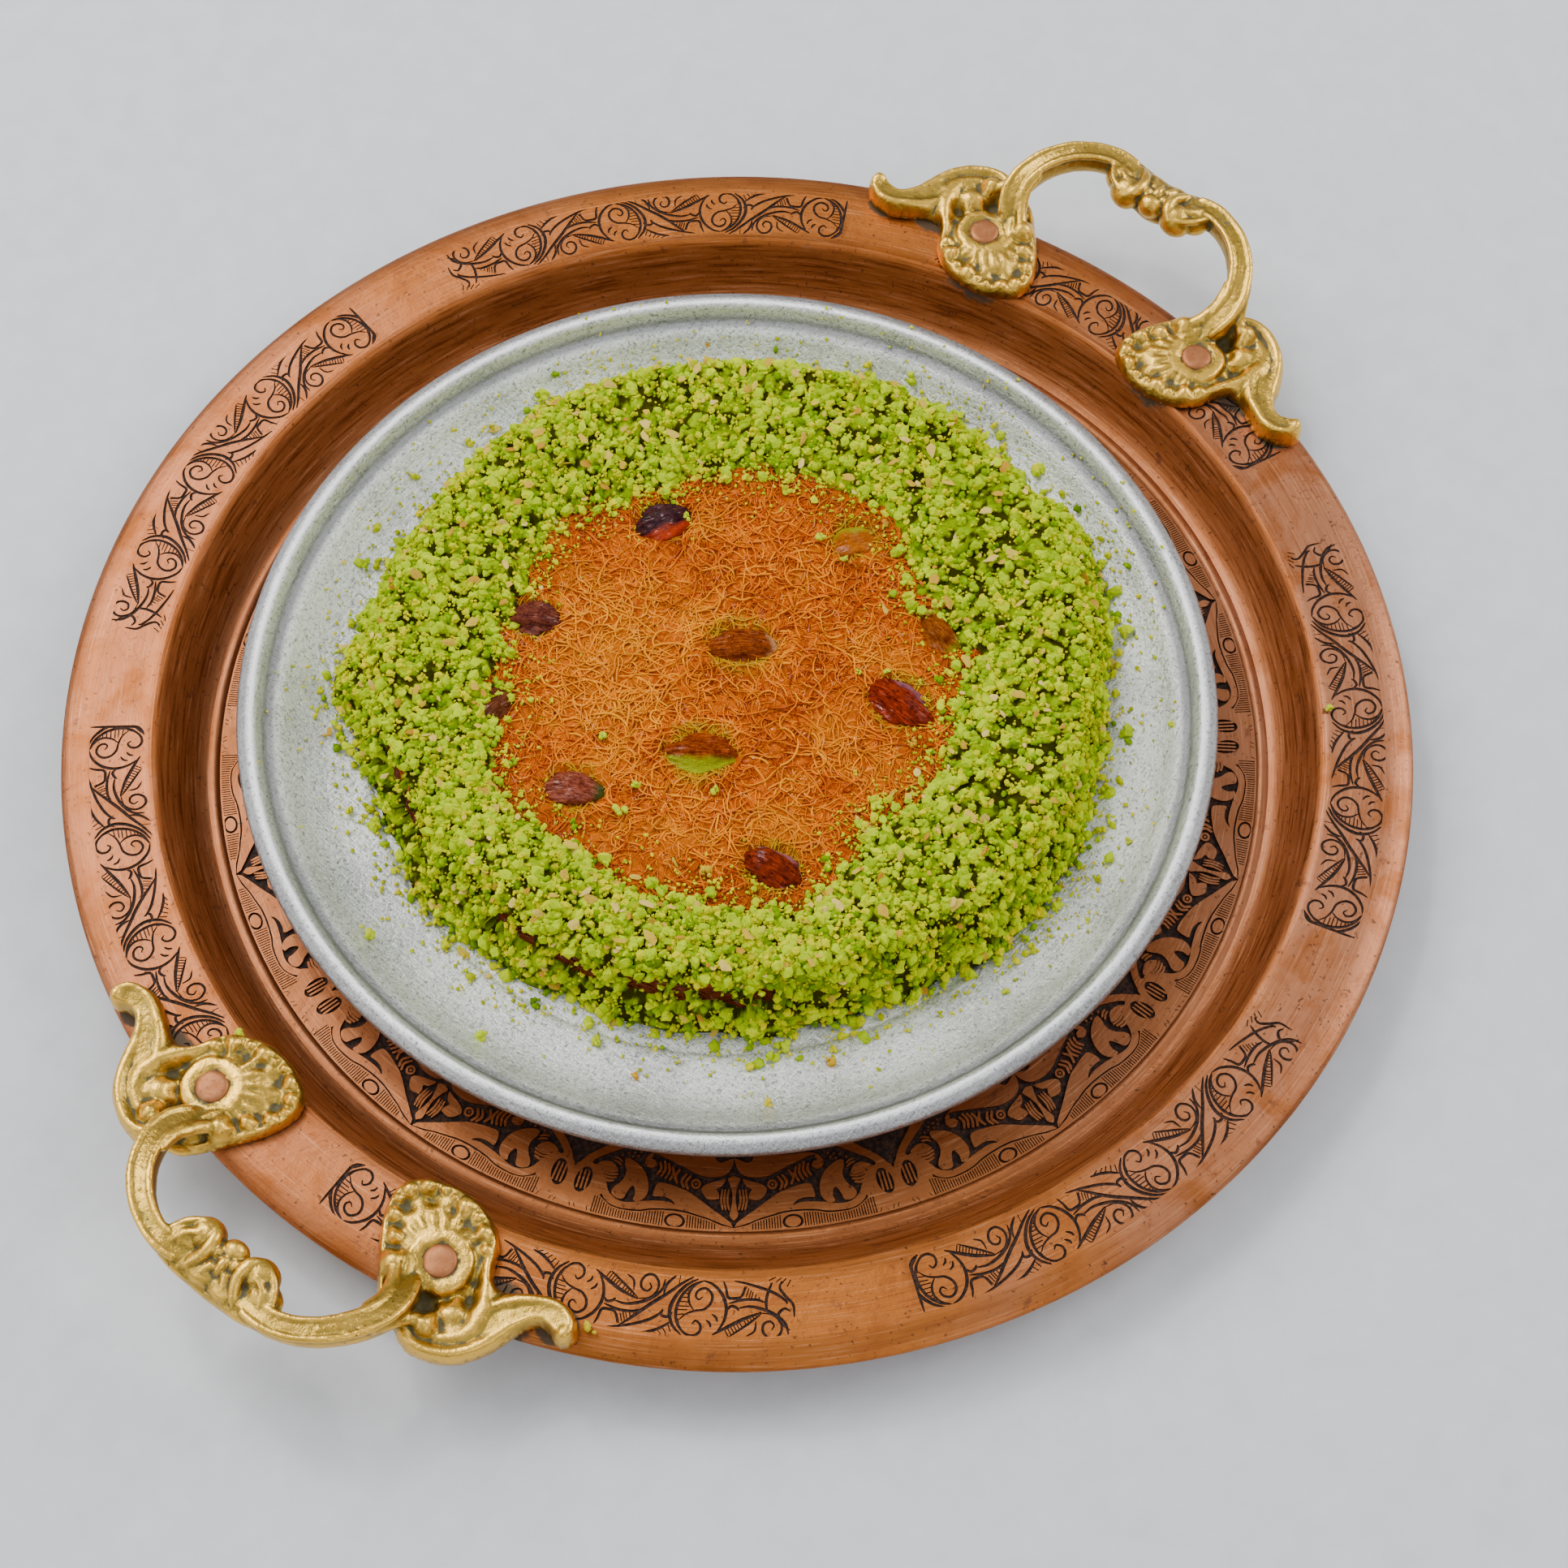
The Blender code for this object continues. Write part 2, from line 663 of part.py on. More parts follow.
def make_rivets(collection, cutters, tray, material):
    first = turned("rivet_far_1", rivet_profile(), RIVET_STEPS, collection, material)
    smooth_shading(first)
    names = ("rivet_far_1", "rivet_far_2", "rivet_near_1", "rivet_near_2")
    half_turn = Matrix.Rotation(math.pi, 4, "Z")
    for index, name in enumerate(names):
        place = rivet_place(1 if index % 2 == 0 else -1)
        if index >= 2:
            place = half_turn @ place
        rivet = first if index == 0 else bpy.data.objects.new(name, first.data)
        if index:
            collection.objects.link(rivet)
        rivet.location = place
        hole = turned("tray hole %d" % (index + 1), rivet_profile(GAP), RIVET_STEPS, cutters)
        hole.location = place
        cut(tray, as_cutter(hole))


def main():
    clear_scene()
    parts = make_collection("kunafa")
    cutters = make_collection("cutters")
    copper = make_material("copper", COPPER, 0.38, 1.0)
    brass = make_material("cast brass", BRASS, 0.36, 1.0)
    aluminium = make_material("aluminium", ALUMINIUM, 0.42, 1.0)
    pastry_orange = make_material("syrupy pastry", PASTRY_ORANGE, 0.35, 0.0)
    green = make_material("ground pistachio", PISTACHIO_GREEN, 0.75, 0.0)
    brown = make_material("roasted pistachio", KERNEL_BROWN, 0.25, 0.0)

    tray = make_tray(parts, copper)
    make_rivets(parts, cutters, tray, copper)
    smooth_shading(tray)
    handle = make_handle(parts, cutters, brass)
    second = bpy.data.objects.new("handle_near", handle.data)
    second.rotation_euler.z = math.pi
    parts.objects.link(second)
    plate = make_plate(parts, aluminium)
    smooth_shading(plate)
    pastry = make_pastry(parts, cutters, pastry_orange)
    smooth_shading(pastry)
    make_ring(parts, cutters, green)
    make_kernels(parts, brown)


main()
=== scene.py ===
import math

import bpy
import numpy as np
from mathutils import Matrix, Vector, noise
from mathutils.geometry import delaunay_2d_cdt


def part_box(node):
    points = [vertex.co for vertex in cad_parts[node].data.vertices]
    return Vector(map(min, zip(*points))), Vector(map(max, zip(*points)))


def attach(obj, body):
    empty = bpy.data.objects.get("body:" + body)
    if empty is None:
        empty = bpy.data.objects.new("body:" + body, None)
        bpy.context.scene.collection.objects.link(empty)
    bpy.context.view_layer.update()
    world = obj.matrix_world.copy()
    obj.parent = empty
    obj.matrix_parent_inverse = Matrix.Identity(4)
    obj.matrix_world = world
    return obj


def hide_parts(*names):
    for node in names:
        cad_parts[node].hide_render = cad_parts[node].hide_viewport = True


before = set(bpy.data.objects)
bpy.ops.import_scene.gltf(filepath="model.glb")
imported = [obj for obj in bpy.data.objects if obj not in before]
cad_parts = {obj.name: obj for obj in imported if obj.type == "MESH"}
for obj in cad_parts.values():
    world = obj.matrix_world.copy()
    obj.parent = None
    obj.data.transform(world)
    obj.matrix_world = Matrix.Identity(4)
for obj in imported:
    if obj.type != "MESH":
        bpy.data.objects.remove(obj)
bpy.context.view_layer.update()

# Kunafa on an aluminium plate and an engraved copper tray.
# Metres, +Z up, origin on the floor under the middle of the tray, handles on X.

mm = 0.001


# shader sums in plain Python

class Wire:
    def __init__(self, look, socket):
        self.look = look
        self.socket = socket

    def do(self, operation, *others):
        return self.look.sum(operation, self, *others)

    def __add__(self, other):
        return self.do("ADD", other)

    def __sub__(self, other):
        return self.do("SUBTRACT", other)

    def __mul__(self, other):
        return self.do("MULTIPLY", other)

    def __truediv__(self, other):
        return self.do("DIVIDE", other)

    def __rsub__(self, other):
        return self.look.sum("SUBTRACT", other, self)

    __radd__ = __add__
    __rmul__ = __mul__

    def power(self, other):
        return self.do("POWER", other)

    def rise(self, low, high):  # 0 below low, 1 above high, smooth between
        return self.look.node("ShaderNodeMapRange", {"interpolation_type": "SMOOTHSTEP"},
                              {0: self, 1: low, 2: high})

    def part(self, axis):
        return self.look.node("ShaderNodeSeparateXYZ", {}, {0: self}, axis)


class Look:
    def __init__(self, name, **fixed):
        self.material = bpy.data.materials.new(name)
        self.material.use_nodes = True
        self.tree = self.material.node_tree
        self.shader = self.tree.nodes["Principled BSDF"]
        for key, value in fixed.items():
            self.shader.inputs[key.replace("_", " ")].default_value = value

    def feed(self, socket, value):
        if isinstance(value, Wire):
            self.tree.links.new(value.socket, socket)
        else:
            socket.default_value = value

    def node(self, kind, settings, inputs, output=0):
        made = self.tree.nodes.new(kind)
        for key, value in settings.items():
            if key == "stops":
                stops = made.color_ramp.elements
                for index, (place, colour) in enumerate(value):
                    stop = stops[index] if index < 2 else stops.new(place)
                    stop.position = place
                    stop.color = (*colour, 1)
            else:
                setattr(made, key, value)
        for key, value in inputs.items():
            self.feed(made.inputs[key], value)
        return Wire(self, made.outputs[output])

    def sum(self, operation, *values):
        return self.node("ShaderNodeMath", {"operation": operation}, dict(enumerate(values)))

    def place(self):
        return self.node("ShaderNodeTexCoord", {}, {}, "Object")

    def attribute(self, name):
        return self.node("ShaderNodeAttribute", {"attribute_name": name}, {}, "Fac")

    def vector(self, x, y, z):
        return self.node("ShaderNodeCombineXYZ", {}, {0: x, 1: y, 2: z})

    def stretch(self, vector, scale):
        return self.node("ShaderNodeMapping", {}, {"Vector": vector, "Scale": scale})

    def noise(self, vector, scale, detail=3.0, roughness=0.55, distortion=0.0):
        return self.node("ShaderNodeTexNoise", {}, {
            "Vector": vector, "Scale": scale, "Detail": detail,
            "Roughness": roughness, "Distortion": distortion})

    def ramp(self, value, *stops):
        return self.node("ShaderNodeValToRGB", {"stops": stops}, {0: value})

    def mix(self, factor, first, second):
        first, second = [c if isinstance(c, Wire) else (*c, 1) for c in (first, second)]
        return self.node("ShaderNodeMix", {"data_type": "RGBA"}, {0: factor, 6: first, 7: second}, 2)

    def near(self, point, reach):  # 1 at the point, 0 from reach on
        away = self.node("ShaderNodeVectorMath", {"operation": "DISTANCE"},
                         {0: self.place(), 1: point}, "Value")
        return away.rise(reach, 0.0)

    def polar(self):  # radius and angle about the tray's middle
        at = self.place()
        x, y = at.part(0), at.part(1)
        radius = self.sum("SQRT", x * x + y * y)
        return radius, self.sum("ARCTAN2", y, x)

    def layers(self, tone, *covers):  # each cover: where it lies, then its colour
        for where, colour in covers:
            tone = self.mix(where, tone, colour)
        return tone

    def finish(self, colour, roughness, bumps=(), metallic=None, coat=None):
        fed = {"Base Color": colour, "Roughness": roughness, "Metallic": metallic, "Coat Weight": coat}
        for key, value in fed.items():
            if value is not None:
                self.feed(self.shader.inputs[key], value)
        normal = None
        for height, strength, distance in bumps:
            inputs = {"Height": height, "Strength": strength, "Distance": distance}
            if normal:
                inputs["Normal"] = normal
            normal = self.node("ShaderNodeBump", {}, inputs)
        if normal:
            self.feed(self.shader.inputs["Normal"], normal)
        return self.material


# meshes from arrays, and the edit-mode steps that several pieces share

def meshPiece(name, points, faces, material, values=None, smooth=True):
    mesh = bpy.data.meshes.new(name)
    faces = np.asarray(faces, np.int32)
    corners = faces.shape[1]
    mesh.vertices.add(len(points))
    mesh.vertices.foreach_set("co", np.asarray(points, np.float32).ravel())
    mesh.loops.add(faces.size)
    mesh.loops.foreach_set("vertex_index", faces.ravel())
    mesh.polygons.add(len(faces))
    mesh.polygons.foreach_set("loop_start", np.arange(0, faces.size, corners, dtype=np.int32))
    mesh.polygons.foreach_set("use_smooth", np.full(len(faces), smooth))
    mesh.update(calc_edges=True)
    mesh.materials.append(material)
    for key, row in (values or {}).items():
        setValue(mesh, key, row)
    piece = bpy.data.objects.new(name, mesh)
    bpy.context.scene.collection.objects.link(piece)
    return piece


def setValue(mesh, key, row):
    attribute = mesh.attributes.get(key) or mesh.attributes.new(key, "FLOAT", "POINT")
    attribute.data.foreach_set("value", np.asarray(row, np.float32))


def readRows(source, key, width=3, kind=np.float32):
    rows = np.zeros(len(source) * width, kind)
    source.foreach_get(key, rows)
    return rows.reshape(-1, width)


def readPoints(mesh):
    return readRows(mesh.vertices, "co").astype(float)


def writePoints(mesh, points):
    mesh.vertices.foreach_set("co", np.asarray(points, np.float32).ravel())
    mesh.update()


def pick(piece):
    bpy.ops.object.select_all(action="DESELECT")
    piece.select_set(True)
    bpy.context.view_layer.objects.active = piece


def applyAll(piece):
    pick(piece)
    for modifier in list(piece.modifiers):
        bpy.ops.object.modifier_apply(modifier=modifier.name)


def smoothPath(points, perSpan):
    rows = np.asarray(points, float)
    rows = np.vstack([2 * rows[0] - rows[1], rows, 2 * rows[-1] - rows[-2]])
    path = []
    for index in range(1, len(rows) - 2):
        before, start, end, after = rows[index - 1:index + 3]
        for t in np.linspace(0, 1, perSpan, endpoint=False):
            path.append(0.5 * (2 * start + (end - before) * t
                               + (2 * before - 5 * start + 4 * end - after) * t ** 2
                               + (3 * start - before - 3 * end + after) * t ** 3))
    path.append(rows[-2])
    return np.array(path)


def turned(x, y, angle):
    return x * np.cos(angle) - y * np.sin(angle), x * np.sin(angle) + y * np.cos(angle)


def uneven(points, scale):
    # one chance value between -1 and 1 for each point, that changes smoothly over the piece
    return np.array([noise.noise(Vector(point) * scale) for point in points])


# engraving: patterns are flat drawings in mm, cut into the sheet as real grooves

def lineShape(points, width, perSpan=4, tail=0.3):
    # outline of one engraved line, wide in the middle and narrow at its ends
    path = smoothPath(points, perSpan) if len(points) > 2 else np.array(points, float)
    along = np.gradient(path, axis=0)
    along /= np.linalg.norm(along, axis=1)[:, None] + 1e-9
    share = np.linspace(0, 1, len(path))
    half = width / 2 * (tail + (1 - tail) * np.sin(math.pi * share) ** 0.6)
    side = np.stack([-along[:, 1], along[:, 0]], 1) * half[:, None]
    return np.vstack([path + side, (path - side)[::-1]])


def roundShape(centre, halfSizes, corners=14, turn=0.0):
    angle = np.linspace(0, 2 * math.pi, corners, endpoint=False)
    x, y = halfSizes[0] * np.cos(angle), halfSizes[1] * np.sin(angle)
    c, s = math.cos(turn), math.sin(turn)
    return np.stack([centre[0] + c * x - s * y, centre[1] + s * x + c * y], 1)


def hatchLines(first, second, count, width):
    # short engraved lines from one curve to another
    a, b = smoothPath(first, 12), smoothPath(second, 12)
    shapes = []
    for share in np.linspace(0.04, 0.96, count):
        start = a[int(share * (len(a) - 1))]
        end = b[int(share * (len(b) - 1))]
        if np.linalg.norm(end - start) > 1.5 * width:
            shapes.append(lineShape([start, end], width, tail=0.9))
    return shapes


def insideOutline(centres, outline):
    # whether an outline winds round each point
    turns = np.zeros(len(centres), int)
    x, y = centres[:, 0], centres[:, 1]
    for (ax, ay), (bx, by) in zip(outline, np.roll(outline, -1, 0)):
        side = (bx - ax) * (y - ay) - (x - ax) * (by - ay)
        turns += (ay <= y) & (by > y) & (side > 0)
        turns -= (ay > y) & (by <= y) & (side < 0)
    return turns != 0


def cutSheet(width, height, shapes, steps, rows):
    # Triangles of a flat strip 0..width by 0..height. Shapes are (kind, outline),
    # and a triangle is sunk or stands as the last shape round it says.
    corners, edges, outlines = [], [], []

    def addLoop(outline):
        first, count = len(corners), len(outline)
        corners.extend(Vector(p) for p in outline)
        edges.extend((first + i, first + (i + 1) % count) for i in range(count))

    across = np.linspace(0, width, steps + 1)
    addLoop([(x, 0.0) for x in across] + [(x, height) for x in across[::-1]])
    for kind, outline in shapes:
        outline = np.asarray(outline, float).copy()
        outline[:, 0] = np.clip(outline[:, 0], 0, width)
        outline[:, 1] = np.clip(outline[:, 1], 0.02 * height, 0.98 * height)
        addLoop(outline)
        outlines.append((kind, outline))
    for row in range(1, rows):
        shift = 0.5 * (row % 2) * width / steps
        corners.extend(Vector((x + shift, row * height / rows)) for x in across[1:-1:2])
    points, _, triangles, _, _, _ = delaunay_2d_cdt(corners, edges, [], 0, 1e-5, False)
    points = np.array([tuple(p) for p in points])
    triangles = np.array(triangles)
    centres = points[triangles].mean(1)
    sunk = np.zeros(len(triangles), bool)
    for kind, outline in outlines:
        low, high = outline.min(0), outline.max(0)
        close = np.flatnonzero(np.all((centres > low) & (centres < high), 1))
        sunk[close[insideOutline(centres[close], outline)]] = kind == "cut"
    return points, triangles, sunk


# angles in degrees, sizes in mm; a repeat starts with its panel, and metal stays plain up to the next
rimPattern = {
    "mark": 1, "repeats": 7, "firstAngle": -24.9, "panelLength": 41.3, "innerRadius": 122.1, "height": 12.0,
    "arcRadius": 129.5, "roundels": 4, "spacing": 23.4, "firstCentre": 5.4, "middle": 6.4, "depth": 0.28,
    "line": 0.62, "fine": 0.27, "steps": 50, "endWidth": 3.6, "border": 0.15, "smallest": 0.3,
    "levels": (14.15, 14.49),
}


# the rim's motifs, about their own middles: lines with the share of the line's width and their points,
# and hatching with its count and the two curves it runs between

# a double arc, an S of two curls, and small ticks
roundel = {
    "lines": (
        (1.2, ((-3.4, 5.3), (-5.2, 3.4), (-5.9, 0.8), (-5.1, -1.9), (-3.2, -4.3), (-0.9, -5.7))),
        (1.0, ((-2.4, 5.4), (-4.2, 3.3), (-4.7, 0.7), (-3.9, -2.2), (-2.0, -4.4), (0.2, -5.4))),
        (1.1, ((2.9, 4.7), (4.3, 2.3), (4.7, -0.3), (3.9, -2.8), (2.1, -4.7), (0.2, -5.4))),
        (0.9, ((-4.2, 2.2), (-3.9, 3.6), (-2.8, 4.9), (-1.3, 5.3), (-0.1, 4.5), (0.0, 3.2), (-0.9, 2.4),
               (-1.6, 3.1))),
        (0.9, ((-4.0, 2.4), (-2.8, 1.2), (-1.1, 0.5), (0.6, 0.1), (1.8, -1.2), (1.9, -2.8), (0.7, -3.9),
               (-0.7, -3.5), (-1.2, -2.4), (-0.6, -1.7), (0.2, -2.3))),
        (0.8, ((-1.3, 0.5), (-2.3, -0.9), (-2.5, -2.8), (-1.5, -4.4), (0.1, -5.3))),
        (0.8, ((1.9, 3.6), (1.7, 2.8), (1.0, 2.2))),
        (0.8, ((3.1, 2.5), (2.8, 1.6), (2.0, 1.0))),
    ),
    "hatching": (
        (8, ((-4.5, 1.6), (-4.4, -0.6), (-3.6, -2.6), (-2.4, -4.2)),
           ((-3.2, 1.4), (-2.2, -0.6), (-2.5, -2.6), (-1.8, -4.1))),
    ),
}

# joins two roundels, with its bud, leaf, small curl and hatching
stem = {
    "lines": (
        (1.2, ((8.3, 5.1), (10.2, 3.4), (11.9, 1.7), (14.2, -0.4), (16.6, -2.3), (19.2, -4.5),
               (21.6, -6.1))),
        (1.0, ((6.2, 5.5), (8.8, 4.9), (11.8, 3.9), (14.3, 2.7), (16.0, 1.3), (16.2, 0.6))),
        (1.0, ((15.9, 1.0), (16.2, 1.9), (17.3, 2.0), (18.1, 1.1))),
        (1.0, ((12.4, 5.6), (14.2, 5.2), (16.1, 4.3), (17.9, 2.9))),
        (1.0, ((4.1, 5.4), (4.6, 4.0), (5.0, 2.3), (6.4, 2.1), (7.6, 2.5), (8.3, 4.5))),
        (1.0, ((5.1, 1.1), (7.8, 1.8), (10.4, 1.8), (12.0, 1.2))),
        (1.0, ((4.9, -0.2), (5.6, 0.6), (6.6, 0.3), (7.1, -0.3))),
        (1.1, ((7.0, 0.2), (9.1, 0.5), (11.6, -0.1), (13.9, -1.3), (15.6, -3.1), (16.0, -5.2))),
        (0.9, ((11.2, -0.8), (13.4, -1.3), (14.7, -2.8), (14.8, -4.4), (13.7, -5.7), (12.2, -5.5),
               (11.4, -4.2), (11.7, -2.9), (12.8, -2.5), (13.5, -3.3), (13.0, -4.2))),
        (1.2, ((2.2, -5.0), (5.0, -3.4), (7.9, -1.9), (11.3, -0.7))),
        (0.8, ((5.2, -5.3), (7.4, -3.8), (9.4, -2.4), (11.3, -0.9))),
        (0.7, ((10.2, -2.3), (9.9, -4.2), (8.4, -5.2))),
        (1.0, ((16.0, -2.3), (16.5, -4.3), (18.2, -6.2))),
        (1.0, ((18.8, -4.4), (18.9, -6.3))),
    ),
    "hatching": (
        (7, ((8.6, 4.4), (10.0, 3.2), (11.8, 1.6)),
           ((7.9, 2.6), (9.6, 2.0), (11.7, 1.4))),
        (12, ((4.4, -3.8), (7.6, -2.1), (11.0, -0.8)),
            ((5.1, -5.2), (8.2, -3.2), (11.1, -1.0))),
        (5, ((13.0, 5.4), (15.6, 4.5), (17.6, 3.2)),
           ((14.4, 6.0), (16.6, 5.6), (18.2, 4.8))),
    ),
}

panelStart = {
    "lines": ((1.2, ((0.3, 11.9), (0.25, 7.5), (0.3, 3.2), (0.9, 1.6), (2.4, 0.7))),),
    "hatching": (),
}

panelEnd = {
    "lines": (
        (1.0, ((2.2, 10.8), (0.6, 9.3), (0.3, 7.6), (1.5, 6.6), (2.6, 7.2))),
        (1.0, ((3.2, 8.4), (3.2, 6.0), (2.0, 4.4), (0.9, 2.6), (1.4, 1.2))),
        (1.0, ((-1.6, 7.6), (-1.9, 5.4), (-1.4, 3.2), (-0.5, 1.4))),
    ),
    "hatching": (),
}


def motifShapes(motif, x, y, flip):
    # the outlines of one motif at its place, upside down where flip is -1
    def at(points):
        return [(x + a, y + flip * b) for a, b in points]

    p = rimPattern
    shapes = [lineShape(at(points), p["line"] * share) for share, points in motif["lines"]]
    for count, first, second in motif["hatching"]:
        shapes += hatchLines(at(first), at(second), count, p["fine"])
    return shapes


def rimShapes():
    p = rimPattern
    length = math.radians(p["panelLength"]) * p["arcRadius"]
    outlines = motifShapes(panelStart, 0, 0, 1)
    for index in range(p["roundels"]):
        x = p["firstCentre"] + index * p["spacing"]
        flip = -1 if index % 2 == 0 else 1
        outlines += motifShapes(roundel, x, p["middle"], flip)
        outlines += motifShapes(stem, x, p["middle"], -flip)
    outlines += motifShapes(panelEnd, length - p["endWidth"], 0, 1)
    inside = []
    for outline in outlines:
        outline[:, 1] = np.clip(outline[:, 1], p["border"], p["height"] - p["border"])
        if outline[:, 0].max() < length and np.ptp(outline, 0).sum() > p["smallest"]:
            inside.append(("cut", outline))
    return inside


# the floor's pattern is drawn for half a repeat on squared paper, from the point
# of the V to the middle of the two rings, and mirrored

floorPattern = {
    "mark": 2, "repeats": 10, "innerRadius": 92.4, "height": 17.0, "drawnRadius": 96.0,
    "squaresPerMm": 48.0, "axis": 92.0, "topSquares": 45.0, "depth": 0.55, "steps": 35,
    "levels": (1.5, 1.55), "edgeTicks": (250, 1300, 23),
}

floorOutlines = {
    "upperEdge": ((92, 78), (200, 105), (300, 152), (400, 180), (500, 206), (600, 214), (700, 208),
                  (800, 192), (880, 164), (960, 152), (1060, 148), (1140, 162), (1200, 198), (1250, 235)),
    "lowerCorners": ((1540, 235), (1540, 960), (92, 960)),
    "ring": ((1238, 262), (1268, 195), (1320, 128), (1390, 78), (1450, 100), (1500, 145), (1540, 205),
             (1540, 440), (1500, 510), (1450, 590), (1380, 665), (1290, 745), (1230, 800), (1080, 900),
             (960, 940), (960, 900), (1070, 800), (1180, 722), (1280, 652), (1360, 588), (1400, 530),
             (1345, 500), (1290, 400)),
    "band": ((100, 88), (200, 122), (300, 165), (400, 195), (500, 222), (600, 230), (700, 224),
             (800, 208), (880, 180), (960, 168), (1060, 162), (1140, 176), (1200, 212), (1240, 262),
             (1300, 400), (1370, 515), (1310, 500), (1230, 380), (1190, 300), (1130, 248), (1060, 225),
             (990, 232), (930, 250), (870, 268), (790, 285), (700, 296), (640, 290), (600, 274),
             (622, 306), (680, 334), (750, 336), (795, 330), (800, 380), (775, 464), (700, 470),
             (600, 448), (500, 415), (400, 352), (300, 275), (200, 200), (118, 132)),
    "leaf": ((900, 262), (868, 300), (850, 360), (856, 430), (882, 505), (930, 572), (1000, 622),
             (1072, 650), (1112, 640), (1108, 590), (1084, 530), (1080, 470), (1108, 402), (1148, 350),
             (1162, 296), (1132, 258), (1080, 244), (1044, 262), (1032, 312), (1003, 385), (975, 385),
             (955, 320), (965, 262), (935, 250)),
    "curl": ((1148, 500), (1200, 478), (1280, 485), (1350, 530), (1300, 570), (1230, 582), (1180, 550),
             (1148, 500)),
    "bud": ((92, 150), (128, 200), (112, 300), (106, 400), (128, 500), (148, 560), (92, 588)),
    "bean": ((222, 362), (300, 345), (350, 380), (385, 450), (340, 500), (230, 540), (168, 556),
             (205, 482), (250, 455), (226, 415), (222, 362)),
    "hook": ((812, 640), (850, 600), (900, 606), (930, 650), (915, 710), (870, 752), (862, 712),
             (880, 690), (838, 680)),
    "foot": ((92, 760), (108, 690), (140, 628), (190, 588), (290, 568), (400, 580), (500, 622),
             (600, 665), (700, 702), (800, 736), (872, 748), (800, 772), (700, 776), (560, 776),
             (450, 792), (340, 800), (280, 782), (262, 738), (215, 716), (150, 742)),
}


def floorShapes():
    # "cut" sinks, "up" leaves metal standing again inside a sunk stretch
    p, drawn = floorPattern, floorOutlines
    half = []

    def add(kind, *outlines):
        half.extend((kind, np.asarray(outline, float)) for outline in outlines)

    def strokes(lines, width, tail):
        return [lineShape(line, width, tail=tail) for line in lines]

    add("cut", [*drawn["upperEdge"], *drawn["lowerCorners"]])
    add("up", smoothPath(drawn["band"], 3), smoothPath(drawn["ring"], 2))
    add("cut", roundShape((1428, 345), (70, 132), 20, 0.12))  # the ring's oval, with three strokes
    add("up", *strokes([((x, 250), (x + 4, 440)) for x in (1392, 1428, 1464)], 22, 0.8))
    add("up", smoothPath(drawn["leaf"], 3))
    add("up", *strokes([((left, top + 8), (1220, top - 8), (1262 + (top - 400) / 2, top + 8))
                        for top, left in ((400, 1166), (434, 1150), (468, 1142))], 24, 0.8))
    add("up", smoothPath(drawn["curl"], 2)[:-1])
    add("up", *strokes([((1132, y), (1170, y + 26), (1215, y + 34)) for y in (566, 600)], 20, 0.7))
    dots = ((1000, 690), (1050, 672), (1040, 720), (1095, 700), (985, 735), (1150, 665))
    add("up", *[roundShape(dot, (12, 12), 6) for dot in dots])
    add("up", smoothPath(drawn["bud"], 3))
    add("up", *strokes([((x - 18, 250), (x, 350), (x - 10, 455)) for x in (150, 178, 204)], 20, 0.5))
    besideBean = (436, 494)  # a small eye: a disc, a round cut in it, and a dot
    add("up", smoothPath(drawn["bean"], 2)[:-1], roundShape(besideBean, (46, 50), 14))
    add("cut", roundShape(besideBean, (26, 28), 10))
    add("up", roundShape(besideBean, (14, 15), 8))
    fan = ((500, 432, 140, 26), (540, 445, 140, 26), (605, 480, 145, 26), (680, 500, 150, -30),
           (720, 512, 160, -30), (760, 528, 160, -30), (800, 540, 130, -30))
    add("up", *strokes([((x, y), (x + bend, y + length / 2), (x - 12, y + length))
                        for x, y, length, bend in fan], 26, 0.7))
    add("up", smoothPath(drawn["hook"], 2), smoothPath(drawn["foot"], 2))
    edge, eye, top = np.array(drawn["upperEdge"]), (585, 118), 62
    for x in range(*p["edgeTicks"]):  # upright ticks over the edge, but not where the eye stands
        low = np.interp(x, edge[:, 0], edge[:, 1]) - 12
        if low - top > 14 and abs(x - eye[0]) > 92:
            add("cut", lineShape([(x, top), (x, low)], 10, tail=0.9))
    add("cut", roundShape(eye, (88, 72), 18))
    add("up", roundShape(eye, (66, 52), 16))
    add("cut", *strokes([((x - 14, 58), (x, 100)) for x in (1290, 1330, 1440, 1480)], 12, 0.6))
    repeat = 2 * math.pi / p["repeats"] * p["drawnRadius"]
    shapes = []
    for kind, outline in half:
        x = (outline[:, 0] - p["axis"]) / p["squaresPerMm"]
        y = p["height"] - (outline[:, 1] - p["topSquares"]) / p["squaresPerMm"]
        shapes.append((kind, np.stack([x, y], 1)))
        shapes.append((kind, np.stack([repeat - x, y], 1)[::-1]))
    return repeat, shapes


# tray

